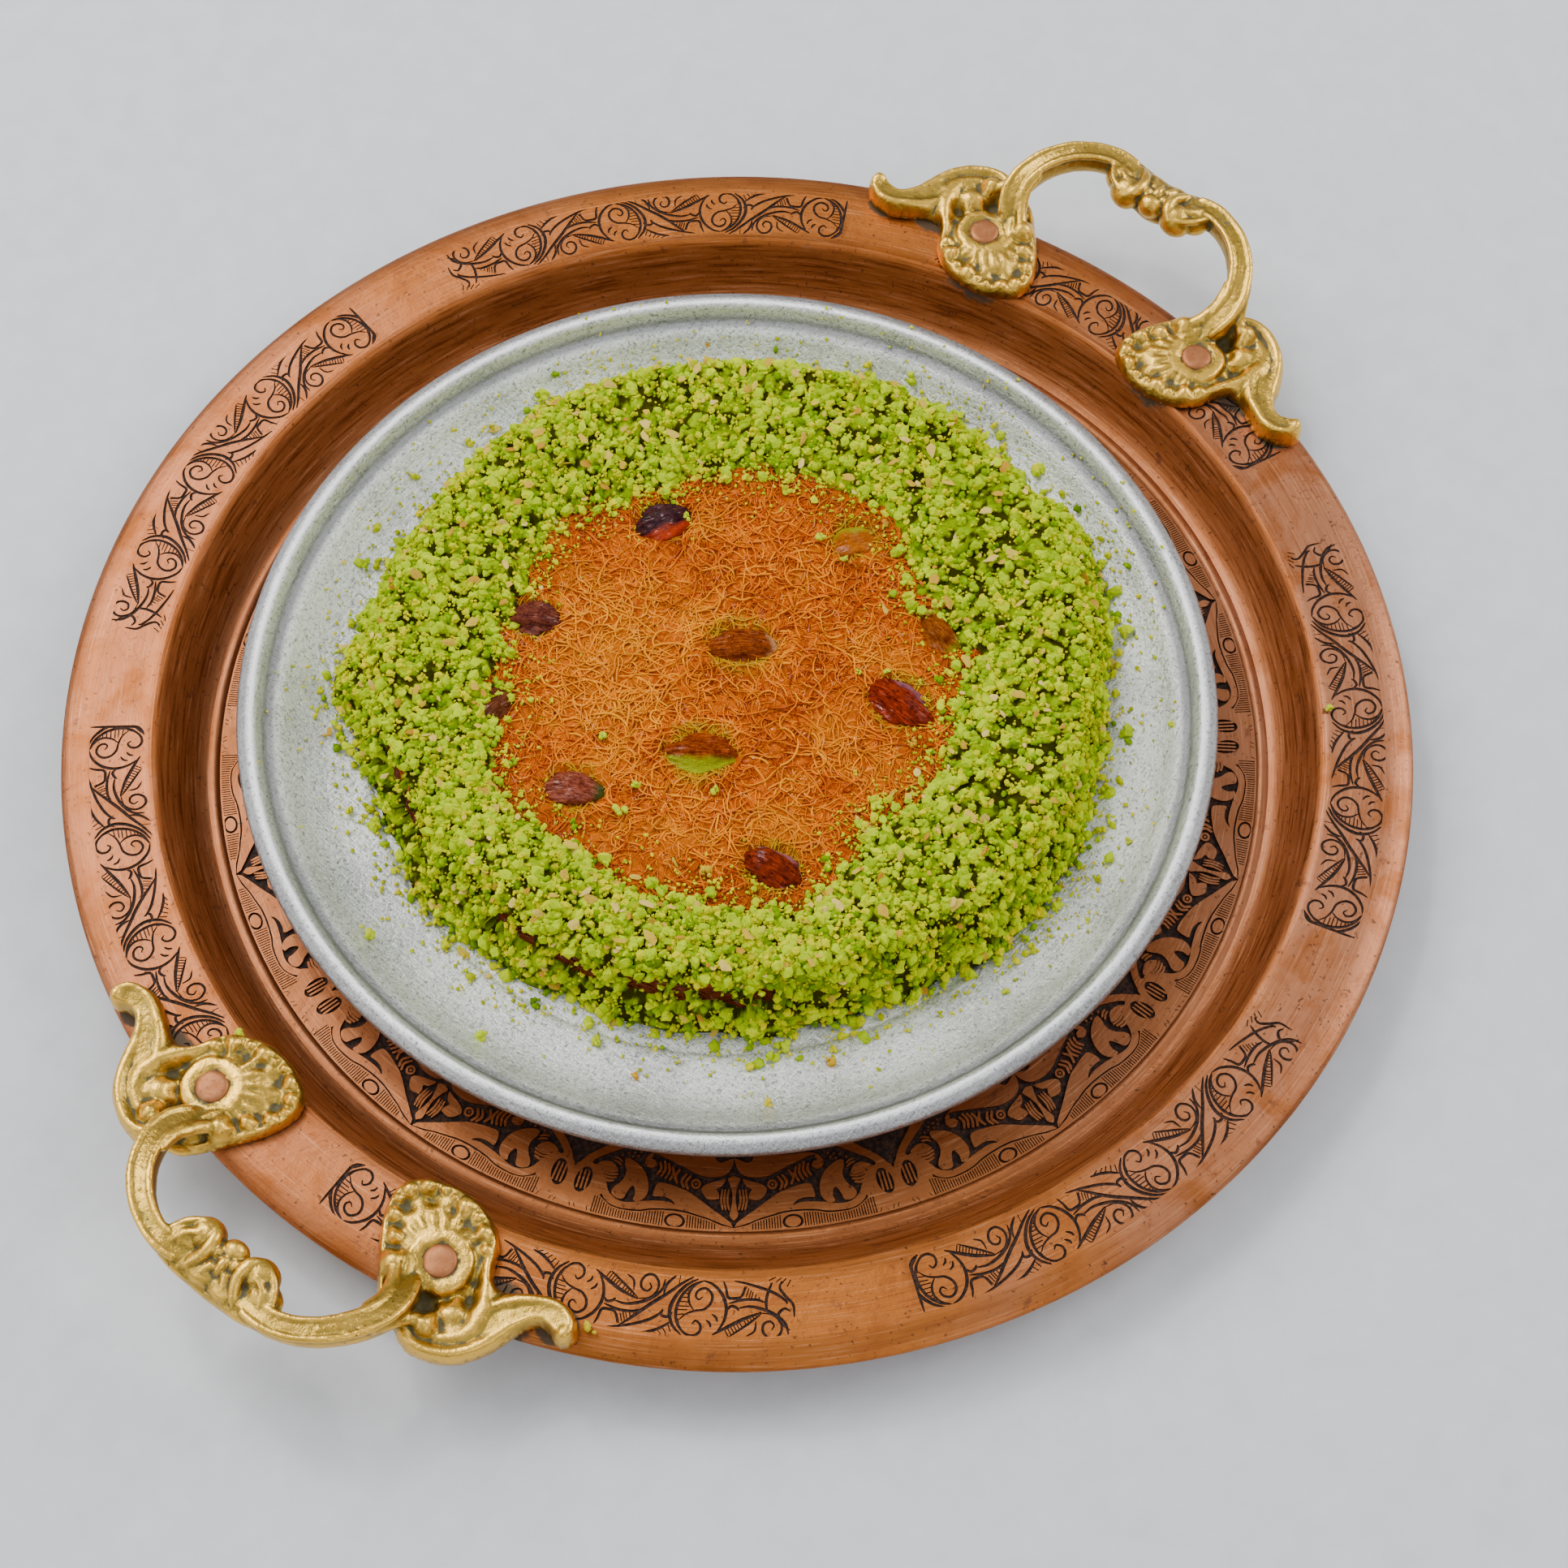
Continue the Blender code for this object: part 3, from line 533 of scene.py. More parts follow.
tray = {
    "steps": 350, "floorFirstStep": 25,
    "wall": [(109.4, 1.55), (110.0, 2.1), (110.8, 2.25), (111.8, 1.95), (113.2, 2.35), (115.0, 3.8),
             (116.6, 5.9), (117.9, 8.4), (119.0, 10.8), (120.0, 13.0), (120.6, 14.05), (121.2, 14.4),
             (121.7, 14.3), (122.1, 14.15)],
    "edge": [(134.1, 14.49), (134.7, 14.5), (136.4, 14.25), (138.2, 13.85), (139.3, 13.5), (139.85, 13.0),
             (139.95, 12.6), (139.7, 12.1), (139.2, 11.9), (137.6, 12.1), (132.0, 12.3), (124.0, 12.6),
             (121.4, 12.4), (119.7, 9.4), (117.6, 5.2), (114.4, 2.0), (110.4, 0.4), (107.8, 0.0),
             (70.0, 0.0), (30.0, 0.0), (0.0, 0.0)],
    "floor": [(0.0, 1.5), (25.0, 1.5), (50.0, 1.5), (75.0, 1.5), (92.4, 1.5)],
    "waver": 0.2, "waverScales": (24, 60), "waverFrom": 118, "waverTo": 139,
    "dentAngle": -18.0, "dentWidth": 1.3, "dentDepth": 0.55, "dentFrom": 122, "dentRise": 6, "dentTo": 139.5,
    "sharpAngle": 32,
}


def spun(name, profile, steps, material, turn=0.0, centre=(0.0, 0.0)):
    # a turned sheet: the profile (radius, height) is drawn point by point, then spun
    out = Vector((math.cos(turn), math.sin(turn), 0))
    middle = Vector((*centre, 0))
    places = [(middle + out * r + Vector((0, 0, z))) * mm for r, z in profile]
    bpy.ops.object.select_all(action="DESELECT")
    bpy.ops.mesh.primitive_plane_add(size=mm)
    piece = bpy.context.object
    piece.name = piece.data.name = name
    bpy.ops.object.mode_set(mode="EDIT")
    bpy.ops.mesh.select_mode(type="VERT")
    bpy.ops.mesh.select_all(action="SELECT")
    bpy.ops.mesh.merge(type="CENTER")
    bpy.ops.transform.translate(value=places[0])
    for start, end in zip(places, places[1:]):
        bpy.ops.mesh.extrude_vertices_move(TRANSFORM_OT_translate={"value": end - start})
    bpy.ops.mesh.select_all(action="SELECT")
    bpy.ops.mesh.spin(steps=steps, angle=2 * math.pi, center=middle * mm, axis=(0, 0, 1))
    weld()
    bpy.ops.object.mode_set(mode="OBJECT")
    bpy.ops.object.shade_smooth()
    piece.data.materials.append(material)
    return piece


def weld(reach=0.003):
    # in edit mode: merges what meets, and turns all faces outwards
    bpy.ops.mesh.select_all(action="SELECT")
    bpy.ops.mesh.remove_doubles(threshold=reach * mm)
    bpy.ops.mesh.normals_make_consistent(inside=False)


def engravedRing(name, pattern, width, shapes, firstAngle, material):
    # the flat strip, cut once, laid round the tray as often as it repeats
    points, triangles, sunk = cutSheet(width, pattern["height"], shapes, pattern["steps"], 5)
    radius = pattern["innerRadius"] + points[:, 1]
    inner, outer = pattern["levels"]
    height = inner + (outer - inner) * (points[:, 1] / pattern["height"])
    rows, faces = [], []
    for index in range(pattern["repeats"]):
        angle = firstAngle + 2 * math.pi * (index + points[:, 0] / width) / pattern["repeats"]
        rows.append(np.stack([radius * np.cos(angle), radius * np.sin(angle), height], 1))
        faces.append(triangles + index * len(points))
    piece = meshPiece(name, np.vstack(rows) * mm, np.vstack(faces), material)
    mark = piece.data.attributes.new("sunk", "INT", "FACE")
    mark.data.foreach_set("value", np.tile(sunk, pattern["repeats"]).astype(np.int32) * pattern["mark"])
    print(name, len(piece.data.polygons), "faces")
    return piece


def faceMarks(mesh):
    return readRows(mesh.attributes["sunk"].data, "value", 1, np.int32).ravel()


def sinkEngraving(piece):
    # the marked faces of each pattern go down by its depth, and take the second material
    bpy.ops.object.mode_set(mode="EDIT")
    weld()
    for pattern in (rimPattern, floorPattern):
        bpy.ops.mesh.select_mode(type="FACE")
        bpy.ops.mesh.select_all(action="DESELECT")
        bpy.ops.object.mode_set(mode="OBJECT")
        piece.data.polygons.foreach_set("select", faceMarks(piece.data) == pattern["mark"])
        bpy.ops.object.mode_set(mode="EDIT")
        bpy.ops.mesh.extrude_region_move(TRANSFORM_OT_translate={"value": (0, 0, -pattern["depth"] * mm)})
    bpy.ops.object.mode_set(mode="OBJECT")
    piece.data.polygons.foreach_set("material_index", (faceMarks(piece.data) > 0).astype(np.int32))
    piece.data.attributes.remove(piece.data.attributes["sunk"])


def wearTray(piece):
    # the rim wavers, and has one dent across it
    t = tray
    points = readPoints(piece.data)
    radius = np.hypot(points[:, 0], points[:, 1]) / mm
    long, short = t["waverScales"]
    waver = uneven(points, long) + 0.3 * uneven(points, short)
    points[:, 2] += t["waver"] * mm * waver * (radius > t["waverFrom"]) * (radius < t["waverTo"])
    outward, across = turned(points[:, 0], points[:, 1], -math.radians(t["dentAngle"]))
    dent = np.exp(-(across / mm / t["dentWidth"]) ** 2) * (outward > 0)
    dent *= np.clip((radius - t["dentFrom"]) / t["dentRise"], 0, 1)
    points[:, 2] -= t["dentDepth"] * mm * dent * (radius < t["dentTo"])
    writePoints(piece.data, points)


def makeTray(copper, groove):
    t = tray
    first = math.radians(rimPattern["firstAngle"])
    rimWidth = 2 * math.pi / rimPattern["repeats"] * rimPattern["arcRadius"]
    floorWidth, shapes = floorShapes()
    floorAngle = first + t["floorFirstStep"] * 2 * math.pi / t["steps"]
    parts = [spun("tray_" + name, t[name], t["steps"], copper, first) for name in ("wall", "edge", "floor")]
    parts.append(engravedRing("rim_band", rimPattern, rimWidth, rimShapes(), first, copper))
    parts.append(engravedRing("floor_band", floorPattern, floorWidth, shapes, floorAngle, copper))
    bpy.ops.object.select_all(action="DESELECT")
    for part in parts:
        part.select_set(True)
    piece = parts[-1]
    bpy.context.view_layer.objects.active = piece
    bpy.ops.object.join()
    piece.name = piece.data.name = "engraved_tray"
    piece.data.materials.append(groove)
    sinkEngraving(piece)
    wearTray(piece)
    bpy.ops.object.shade_smooth_by_angle(angle=math.radians(t["sharpAngle"]))
    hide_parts("tray")
    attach(piece, "root")
    print("tray", len(piece.data.polygons), "faces")


# aluminium plate

plate = {
    "steps": 300, "centre": (0.7, 3.3), "spans": 4, "radius": 101.7,
    "upper": [(0.0, 3.0), (30.0, 3.05), (60.0, 3.0), (72.0, 3.0), (75.4, 3.02), (76.3, 3.35), (77.4, 3.75),
              (81.0, 4.5), (85.2, 5.7), (88.7, 7.5), (91.2, 9.6), (93.2, 11.9), (94.6, 13.1), (95.9, 13.7),
              (96.8, 15.0), (97.4, 16.5), (98.0, 17.3), (98.7, 17.5), (99.5, 17.3), (100.5, 16.95),
              (101.3, 16.5), (101.6, 15.9)],
    "lower": [(101.6, 15.4), (100.6, 14.9), (98.8, 14.6), (97.3, 13.3), (95.6, 11.9), (93.6, 9.4),
              (89.5, 5.8), (83.0, 3.2), (75.0, 1.85), (40.0, 1.8), (0.0, 1.8)],
    "waver": 0.3, "waverScale": 22, "waverFrom": 70, "waverRise": 20,
}


def makePlate(aluminium):
    p = plate
    profile = np.vstack([smoothPath(p["upper"], p["spans"]), smoothPath(p["lower"], p["spans"])])
    profile[:, 0] = np.clip(profile[:, 0], 0, p["radius"])
    piece = spun("aluminium_plate", profile, p["steps"], aluminium, 0.0, p["centre"])
    points = readPoints(piece.data)
    radius = np.hypot(points[:, 0], points[:, 1]) / mm
    waver = uneven(points * (1, 1, 0), p["waverScale"])
    points[:, 2] += p["waver"] * mm * waver * np.clip((radius - p["waverFrom"]) / p["waverRise"], 0, 1)
    writePoints(piece.data, points)
    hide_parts("plate")
    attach(piece, "root")
    print("plate", len(piece.data.polygons), "faces")


def plateHeight(x, y):
    # the plate's upper face under a point, in mm
    radius = np.hypot(x - plate["centre"][0], y - plate["centre"][1])
    rows = np.array(plate["upper"])
    return np.interp(radius, rows[:, 0], rows[:, 1])


# pastry

pastry = {
    "centre": (7.4, 5.8), "bottom": 3.32, "top": 19.0, "relief": 0.42, "steps": 420, "rings": 60,
    "side": [(67.0, 3.32), (70.5, 4.4), (73.4, 6.2), (74.8, 8.4), (75.0, 11.0), (74.6, 14.0), (73.8, 16.4),
             (72.4, 18.0), (70.0, 18.75)],
    "swell": 0.75, "swellAt": 1.28, "swellWidth": 0.28, "dip": 0.7,  # round each nut, in half nuts
    "strands": 3450, "sideStrands": 950, "pieces": 7, "fineness": (0.14, 0.27),
    "length": (3.5, 10.5), "sideLength": (6, 18), "bend": 0.34, "reach": 57, "shift": -5, "furthest": 68,
}


def ripple(x, y, seed, longest, shortest, waves=24):
    # smooth unevenness between about -1 and 1, from waves in all directions
    draw = np.random.default_rng(seed)
    total = np.zeros(np.shape(x))
    for _ in range(waves):
        direction, phase = draw.uniform(0, 2 * math.pi, 2)
        size = 2 * math.pi / (shortest * (longest / shortest) ** draw.random())
        total += np.sin(size * (x * math.cos(direction) + y * math.sin(direction)) + phase)
    return total / math.sqrt(waves)


def pastryTop(x, y):
    # the height of the pastry's upper face, in mm
    p = pastry
    cx, cy = p["centre"]
    radius = np.hypot(x - cx, y - cy)
    height = p["top"] - 0.15 + p["relief"] * 0.5 * ripple(x, y, 5, 40, 9)
    shoulder = np.clip((radius - 66) / 7, 0, 1)
    height = height - 1.0 * shoulder ** 2
    for kx, ky, length, width, direction, _ in kernels:  # it swells round the nuts that sit in it
        along, across = turned(x - kx, y - ky, -math.radians(direction))
        away = np.hypot(along / (length / 2), across / (width / 2))
        swell = p["swell"] * np.exp(-((away - p["swellAt"]) / p["swellWidth"]) ** 2)
        height = height + swell - p["dip"] * np.exp(-(away / 0.95) ** 4)
    return height


def makePastry(crust, lightThread, darkThread):
    p = pastry
    cx, cy = p["centre"]
    top = [(r, p["top"]) for r in np.linspace(69.5, 0, p["rings"])]
    profile = np.vstack([[(0, p["bottom"])], smoothPath(p["side"], 5)[:-1], top])
    piece = spun("kunafa_pastry", profile, p["steps"], crust, 0.0, p["centre"])
    points = readPoints(piece.data) / mm
    radius = np.hypot(points[:, 0] - cx, points[:, 1] - cy)
    upper = (points[:, 2] > 17.9) & (radius < 70)
    wanted = pastryTop(points[:, 0], points[:, 1]) - 0.25  # a little under the threads
    fine = 0.2 * ripple(points[:, 0], points[:, 1], 9, 3.2, 1.1, 30)
    points[:, 2] = np.where(upper, wanted + fine, points[:, 2])
    side = np.clip((radius - 66) / 4, 0, 1) * np.clip((points[:, 2] - 3.5) / 2, 0, 1)
    angle = np.arctan2(points[:, 1] - cy, points[:, 0] - cx)
    rough = 0.45 * ripple(angle * 72, points[:, 2] * 1.6, 12, 7, 1.6, 30) - 0.5
    points[:, 0] += side * rough * np.cos(angle)
    points[:, 1] += side * rough * np.sin(angle)
    writePoints(piece.data, points * mm)
    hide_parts("pastry")
    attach(piece, "root")
    print("pastry", len(piece.data.polygons), "faces")
    draw = np.random.default_rng(31)
    for name, material in (("pastry_threads_light", lightThread), ("pastry_threads_dark", darkThread)):
        strands = topThreads(draw) + sideThreads(draw)
        paths, sizes = [np.array(rows) for rows in zip(*strands)]
        threads(name, paths, sizes, material, draw)


def topThreads(draw):
    # curved strands on the upper face, as (path, half thickness)
    p = pastry
    cx, cy = p["centre"]
    steps = p["pieces"]
    made = []
    while len(made) < p["strands"]:
        angle, reach = draw.uniform(0, 2 * math.pi), p["reach"] * math.sqrt(draw.random())
        x, y = cx + p["shift"] + reach * math.cos(angle), cy + reach * math.sin(angle)
        heading = draw.uniform(0, 2 * math.pi)
        stride = draw.uniform(*p["length"]) / steps
        bend = draw.normal(0, p["bend"], 2)
        path = []
        for step in range(steps + 1):
            path.append((x, y))
            x += stride * math.cos(heading)
            y += stride * math.sin(heading)
            heading += stride * (bend[0] + (bend[1] - bend[0]) * step / steps) + draw.normal(0, 0.2)
        path = np.array(path)
        if np.hypot(path[:, 0] - cx, path[:, 1] - cy).max() > p["furthest"]:
            continue
        lift = 0.7 * draw.random() ** 2 - 0.3
        lift = lift + 0.13 * np.sin(draw.uniform(0, 6) + np.arange(steps + 1) * draw.uniform(0.5, 1.6))
        lift[[0, -1]] -= 0.15
        z = pastryTop(path[:, 0], path[:, 1]) + lift - 0.05
        made.append((np.column_stack([path, z]), draw.uniform(*p["fineness"])))
    return made


def sideThreads(draw):
    # strands that run round the side
    p = pastry
    rows = smoothPath(p["side"], 6)
    along = np.concatenate([[0], np.cumsum(np.hypot(*np.diff(rows, axis=0).T))])
    cx, cy = p["centre"]
    made = []
    for _ in range(p["sideStrands"]):
        angle, place = draw.uniform(0, 2 * math.pi), draw.uniform(1.0, along[-1] - 0.5)
        heading = draw.normal(0, 0.5) + math.pi * draw.integers(0, 2)
        stride = draw.uniform(*p["sideLength"]) / p["pieces"]
        out = draw.uniform(-0.35, 0.28) - 0.5
        path = []
        for _ in range(p["pieces"] + 1):
            r, z = np.interp(place, along, rows[:, 0]), np.interp(place, along, rows[:, 1])
            path.append((cx + (r + out) * math.cos(angle), cy + (r + out) * math.sin(angle), z))
            angle += stride * math.cos(heading) / r
            place = min(max(place + stride * math.sin(heading), 0.6), along[-1])
            heading += draw.normal(0, 0.16)
        made.append((np.array(path), draw.uniform(*p["fineness"])))
    return made


def threads(name, paths, sizes, material, draw):
    # three-sided threads; each keeps one shade from end to end
    count, steps = paths.shape[:2]
    along = np.gradient(paths, axis=1)
    along /= np.linalg.norm(along, axis=2, keepdims=True)
    side = np.cross(along, (0.0, 0.0, 1.0))
    side /= np.linalg.norm(side, axis=2, keepdims=True) + 1e-9
    rise = np.cross(side, along)
    taper = np.ones(steps)
    taper[[0, -1]] = 0.45
    size = (sizes[:, None] * taper)[:, :, None]
    turn = draw.uniform(0, 2 * math.pi, (count, 1, 1))
    corners = []
    for corner in range(3):
        a = turn + corner * 2 * math.pi / 3
        corners.append(paths + size * (np.cos(a) * side + np.sin(a) * rise))
    points = np.stack(corners, 2).reshape(-1, 3)
    first = (np.arange(count)[:, None] * steps + np.arange(steps - 1)).ravel() * 3
    faces = []
    for corner in range(3):
        a, b = first + corner, first + (corner + 1) % 3
        faces.append(np.stack([a, b, b + 3], 1))
        faces.append(np.stack([a, b + 3, a + 3], 1))
    ends = np.arange(count)[:, None] * steps * 3
    faces.append(np.hstack([ends, ends + 2, ends + 1]))
    last = ends + (steps - 1) * 3
    faces.append(np.hstack([last, last + 1, last + 2]))
    shade = np.repeat(draw.random(count), steps * 3)
    piece = meshPiece(name, points * mm, np.vstack(faces), material, {"shade": shade})
    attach(piece, "root")
    print(name, len(piece.data.polygons), "faces")


# whole pistachios: x, y, length, width, direction in degrees, height above the pastry

kernels = (
    (9.5, 6.8, 17.6, 8.8, -56, 1.7), (-15.6, -1.8, 17.8, 9.6, -53, 2.0),
    (23.6, 38.4, 13.5, 9.6, -32, 2.4), (-11.6, 45.2, 12.5, 8.4, -65, 2.2),
    (-37.6, 13.2, 14.0, 8.4, -55, 2.3), (-27.4, -29.6, 14.5, 8.8, -77, 2.4),
    (18.4, -28.0, 16.8, 9.4, -86, 2.5), (44.6, 2.8, 14.0, 8.6, -39, 0.8),
    (-33.4, 38.8, 13.0, 8.4, -10, 2.1), (37.2, -24.6, 12.5, 8.4, -93, 1.8),
)

kernel = {
    "thickness": 8.0, "steps": 72, "rings": 48, "sharpEnd": 0.46, "bluntEnd": 0.2, "curve": 0.05,
    "ridge": 0.75, "wrinkle": 0.3, "pucker": 0.09,
}


def makeKernels(skin):
    k = kernel
    for index, (x, y, length, width, direction, proud) in enumerate(kernels):
        bpy.ops.object.select_all(action="DESELECT")
        bpy.ops.mesh.primitive_uv_sphere_add(segments=k["steps"], ring_count=k["rings"], radius=1.0)
        piece = bpy.context.object
        piece.name = piece.data.name = "pistachio_kernel_%02d" % (index + 1)
        bpy.ops.object.mode_set(mode="EDIT")
        bpy.ops.mesh.select_all(action="SELECT")
        bpy.ops.transform.rotate(value=math.pi / 2, orient_axis="Y", center_override=(0, 0, 0))
        bpy.ops.object.mode_set(mode="OBJECT")
        draw = np.random.default_rng(60 + index)
        unit = readPoints(piece.data)
        points = unit * (length / 2, width / 2, k["thickness"] / 2)
        along = unit[:, 0]
        around = np.arctan2(unit[:, 2], unit[:, 1])
        end = draw.choice((-1, 1))  # the sharper end
        sharp, blunt = np.clip(along * end, 0, 1), np.clip(-along * end, 0, 1)
        points[:, 1:] *= (1 - k["sharpEnd"] * sharp ** 2 - k["bluntEnd"] * blunt ** 3)[:, None]
        points[:, 1] += k["curve"] * width * np.sin(along * 2.2 + draw.uniform(0, 6))
        body = np.sqrt(np.clip(1 - along ** 2, 0, 1))
        bent = 0.9 * np.sin(2.1 * along + draw.uniform(0, 6))
        ridges = np.abs(np.sin(2.5 * around + bent + draw.uniform(0, 6)))
        wrinkle = ripple(along * 2.6, np.sin(around) * 6.5 + index, 70 + index, 6.0, 1.3, 22)
        pucker = ripple(along * 7, np.cos(around) * 9 + index, 90 + index, 3.0, 0.9, 22)
        push = body * (k["ridge"] * ridges - 0.5 + k["wrinkle"] * wrinkle) + k["pucker"] * pucker
        points += unit / np.linalg.norm(unit, axis=1)[:, None] * push[:, None]
        across, forward = turned(points[:, 0], points[:, 1], math.radians(direction))
        middle = pastry["top"] + proud - k["thickness"] / 2
        writePoints(piece.data, np.stack([across + x, forward + y, points[:, 2] + middle], 1) * mm)
        bpy.ops.object.shade_smooth()
        piece.data.materials.append(skin[index])
        setValue(piece.data, "along", along)
        setValue(piece.data, "side", unit[:, 1])
        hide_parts("pistachio_%02d" % (index + 1))
        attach(piece, "root")
    print("kernels", len(kernels))


# ground pistachio

crumbs = {
    "steps": 1040, "rows": 54, "lumps": ((3.1, 0.8), (1.5, 0.5)), "hole": (0.8, 4.3), "holeRadius": 49.6,
    "shoulder": 71.5, "shoulderShare": 0.6, "outer": 79.3, "depth": 2.7,
    "across": ((0.0, 0.05), (0.06, 0.4), (0.16, 0.72), (0.32, 0.92), (0.5, 1.0), (0.7, 1.02), (0.88, 1.0)),
    "slope": ((0.0, 0.93), (0.2, 0.84), (0.4, 0.70), (0.6, 0.52), (0.8, 0.28), (0.93, 0.10), (1.0, 0.0)),
    "bulges": ((128, 12, 7.0), (330, 11, 3.8)),  # direction and half width in degrees, reach in mm
    # spots where the baked side shows: direction, half width, how far down each begins and ends
    "bare": ((151, 11, 0.2, 0.85), (181, 4.5, 0.3, 0.75), (192, 3.5, 0.45, 0.8), (212, 12, 0.35, 0.75)),
    "bareRadius": 72.4,
    "unseen": ((74.0, 3.9), (73.6, 8.0), (73.2, 14.0), (70.5, 18.0)),  # radius and height behind the heap
}

# crumbs that lie apart: x, y, radius of the lump, and how far from green to tan
looseCrumbs = (
    (27.4, 35.1, 1.3, 0.1), (-11.2, 45.5, 1.0, 0.2), (-24.8, 16.1, 1.1, 0.1), (-27.3, 32.7, 0.9, 0.2),
    (-29.5, 3.7, 1.1, 0.1), (-20.8, -10.1, 1.1, 0.2), (40.3, 9.1, 1.2, 0.1), (18.4, -17.0, 0.8, 0.1),
    (22.1, -21.8, 0.9, 0.1), (12.2, -35.5, 1.2, 0.9), (41.8, -20.5, 1.3, 0.3), (38.8, 1.6, 0.9, 0.2),
    (-36.2, 2.2, 1.6, 0.2), (-36.5, -19.7, 1.3, 0.8), (82.4, -30.5, 0.9, 0.1), (92.0, -33.7, 0.7, 0.2),
    (52.0, -73.7, 0.9, 0.2), (25.9, -80.9, 0.9, 0.3), (6.1, -84.2, 0.8, 0.2), (-87.1, -2.6, 1.6, 0.1),
    (-73.8, -20.4, 1.5, 0.1), (-75.0, -31.6, 1.0, 1.0), (-51.5, -50.4, 1.9, 0.1), (-49.2, -60.1, 1.4, 0.8),
    (-64.1, -56.5, 1.0, 0.6), (-84.0, 28.8, 1.7, 0.1), (-72.2, 26.0, 1.2, 0.2), (-16.2, -79.7, 1.0, 0.2),
    (73.3, -98.4, 0.9, 0.2), (-121.9, -58.6, 1.5, 0.7), (-117.2, 33.0, 1.4, 0.1),
)


def degreesFrom(a, degrees):
    # how far a direction is from another, -180 to 180
    gap = a - math.radians(degrees)
    return np.degrees(np.arctan2(np.sin(gap), np.cos(gap)))


def holeEdge(a):
    edge = 2.2 * np.cos(2 * a - 0.9) + 1.9 * np.cos(5 * a - 1.0) + 1.4 * np.cos(9 * a + 0.6)
    return crumbs["holeRadius"] + edge + 0.5 * np.cos(23 * a) + 0.4 * np.cos(37 * a + 1.0)


def outerEdge(a):
    edge = crumbs["outer"] + 0.9 * np.cos(4 * a + 0.5) + 0.8 * np.cos(7 * a - 1.2)
    edge = edge + 0.5 * np.cos(19 * a + 2.0) + 0.45 * np.cos(31 * a)
    for degrees, width, reach in crumbs["bulges"]:
        edge = edge + reach * np.exp(-(degreesFrom(a, degrees) / width) ** 2)
    return edge


def bareShare(angle, second):
    # 1 where the baked side shows through the slope, 0 elsewhere
    bare = np.zeros_like(angle)
    for degrees, width, begins, ends in crumbs["bare"]:
        gap = np.exp(-(degreesFrom(angle, degrees) / width) ** 4)
        down = np.clip((second - begins) / 0.1, 0, 1) * np.clip((ends - second) / 0.1, 0, 1)
        bare = np.maximum(bare, gap * down)
    ragged = ripple(angle * 72, second * 15, 52, 9.0, 1.8, 24)
    return np.clip(bare * (0.9 + 0.8 * ragged), 0, 1)


def slopeShare(share):
    # how far down the heap's slope: 0 at the shoulder and inside it, 1 at the plate
    shoulder = crumbs["shoulderShare"]
    return np.clip((share - shoulder) / (1 - shoulder), 0, 1)


def heapSection(angle, share):
    # a point of the heap's face: share 0 at the hole's edge, 0.6 at the shoulder, 1 at the plate
    c = crumbs
    onTop = share < c["shoulderShare"]
    middle = np.array(pastry["centre"])
    out = np.stack([np.cos(angle), np.sin(angle)], -1)
    inner = np.array(c["hole"]) + out * holeEdge(angle)[..., None]
    shoulder = middle + out * c["shoulder"]
    outer = middle + out * outerEdge(angle)[..., None]
    first, second = np.clip(share / c["shoulderShare"], 0, 1), slopeShare(share)
    across, slope = np.array(c["across"]), np.array(c["slope"])
    flat = inner + (shoulder - inner) * first[..., None]
    bare = bareShare(angle, second)
    radius = c["shoulder"] + (outerEdge(angle) - c["shoulder"]) * second
    radius = radius + (np.minimum(radius, c["bareRadius"]) - radius) * bare
    ramp = middle + out * radius[..., None]
    place = np.where(onTop[..., None], flat, ramp)
    base = pastry["top"] - 0.1
    topHeight = base + c["depth"] * np.interp(first * 0.88, across[:, 0], across[:, 1])
    foot = plateHeight(outer[..., 0], outer[..., 1]) + 0.25
    slopeHeight = foot + (base + c["depth"] - foot) * np.interp(second, slope[:, 0], slope[:, 1]) / 0.93
    height = np.where(onTop, topHeight, np.minimum(slopeHeight, base + c["depth"]))
    edges = np.clip(share / 0.12, 0, 1) * np.clip((1 - share) / 0.12, 0, 1)
    lumps = 0.75 * ripple(place[..., 0], place[..., 1], 44, 15, 4.0) * edges
    return np.concatenate([place, (height + lumps)[..., None]], -1)


def lumpy(points, size):
    # rounded lumps of about this size: how high each point stands, 0 to 1, and each lump's chance shade
    height, shade = np.zeros(len(points)), np.zeros(len(points))
    mixer = Vector((12.9, 78.2, 37.7))
    for index, place in enumerate(points / size):
        distances, centres = noise.voronoi(Vector(place))
        height[index] = 1 - min(1.0, distances[0] / 0.8) ** 2
        shade[index] = math.sin(centres[0].dot(mixer)) * 437.5 % 1
    return height, shade


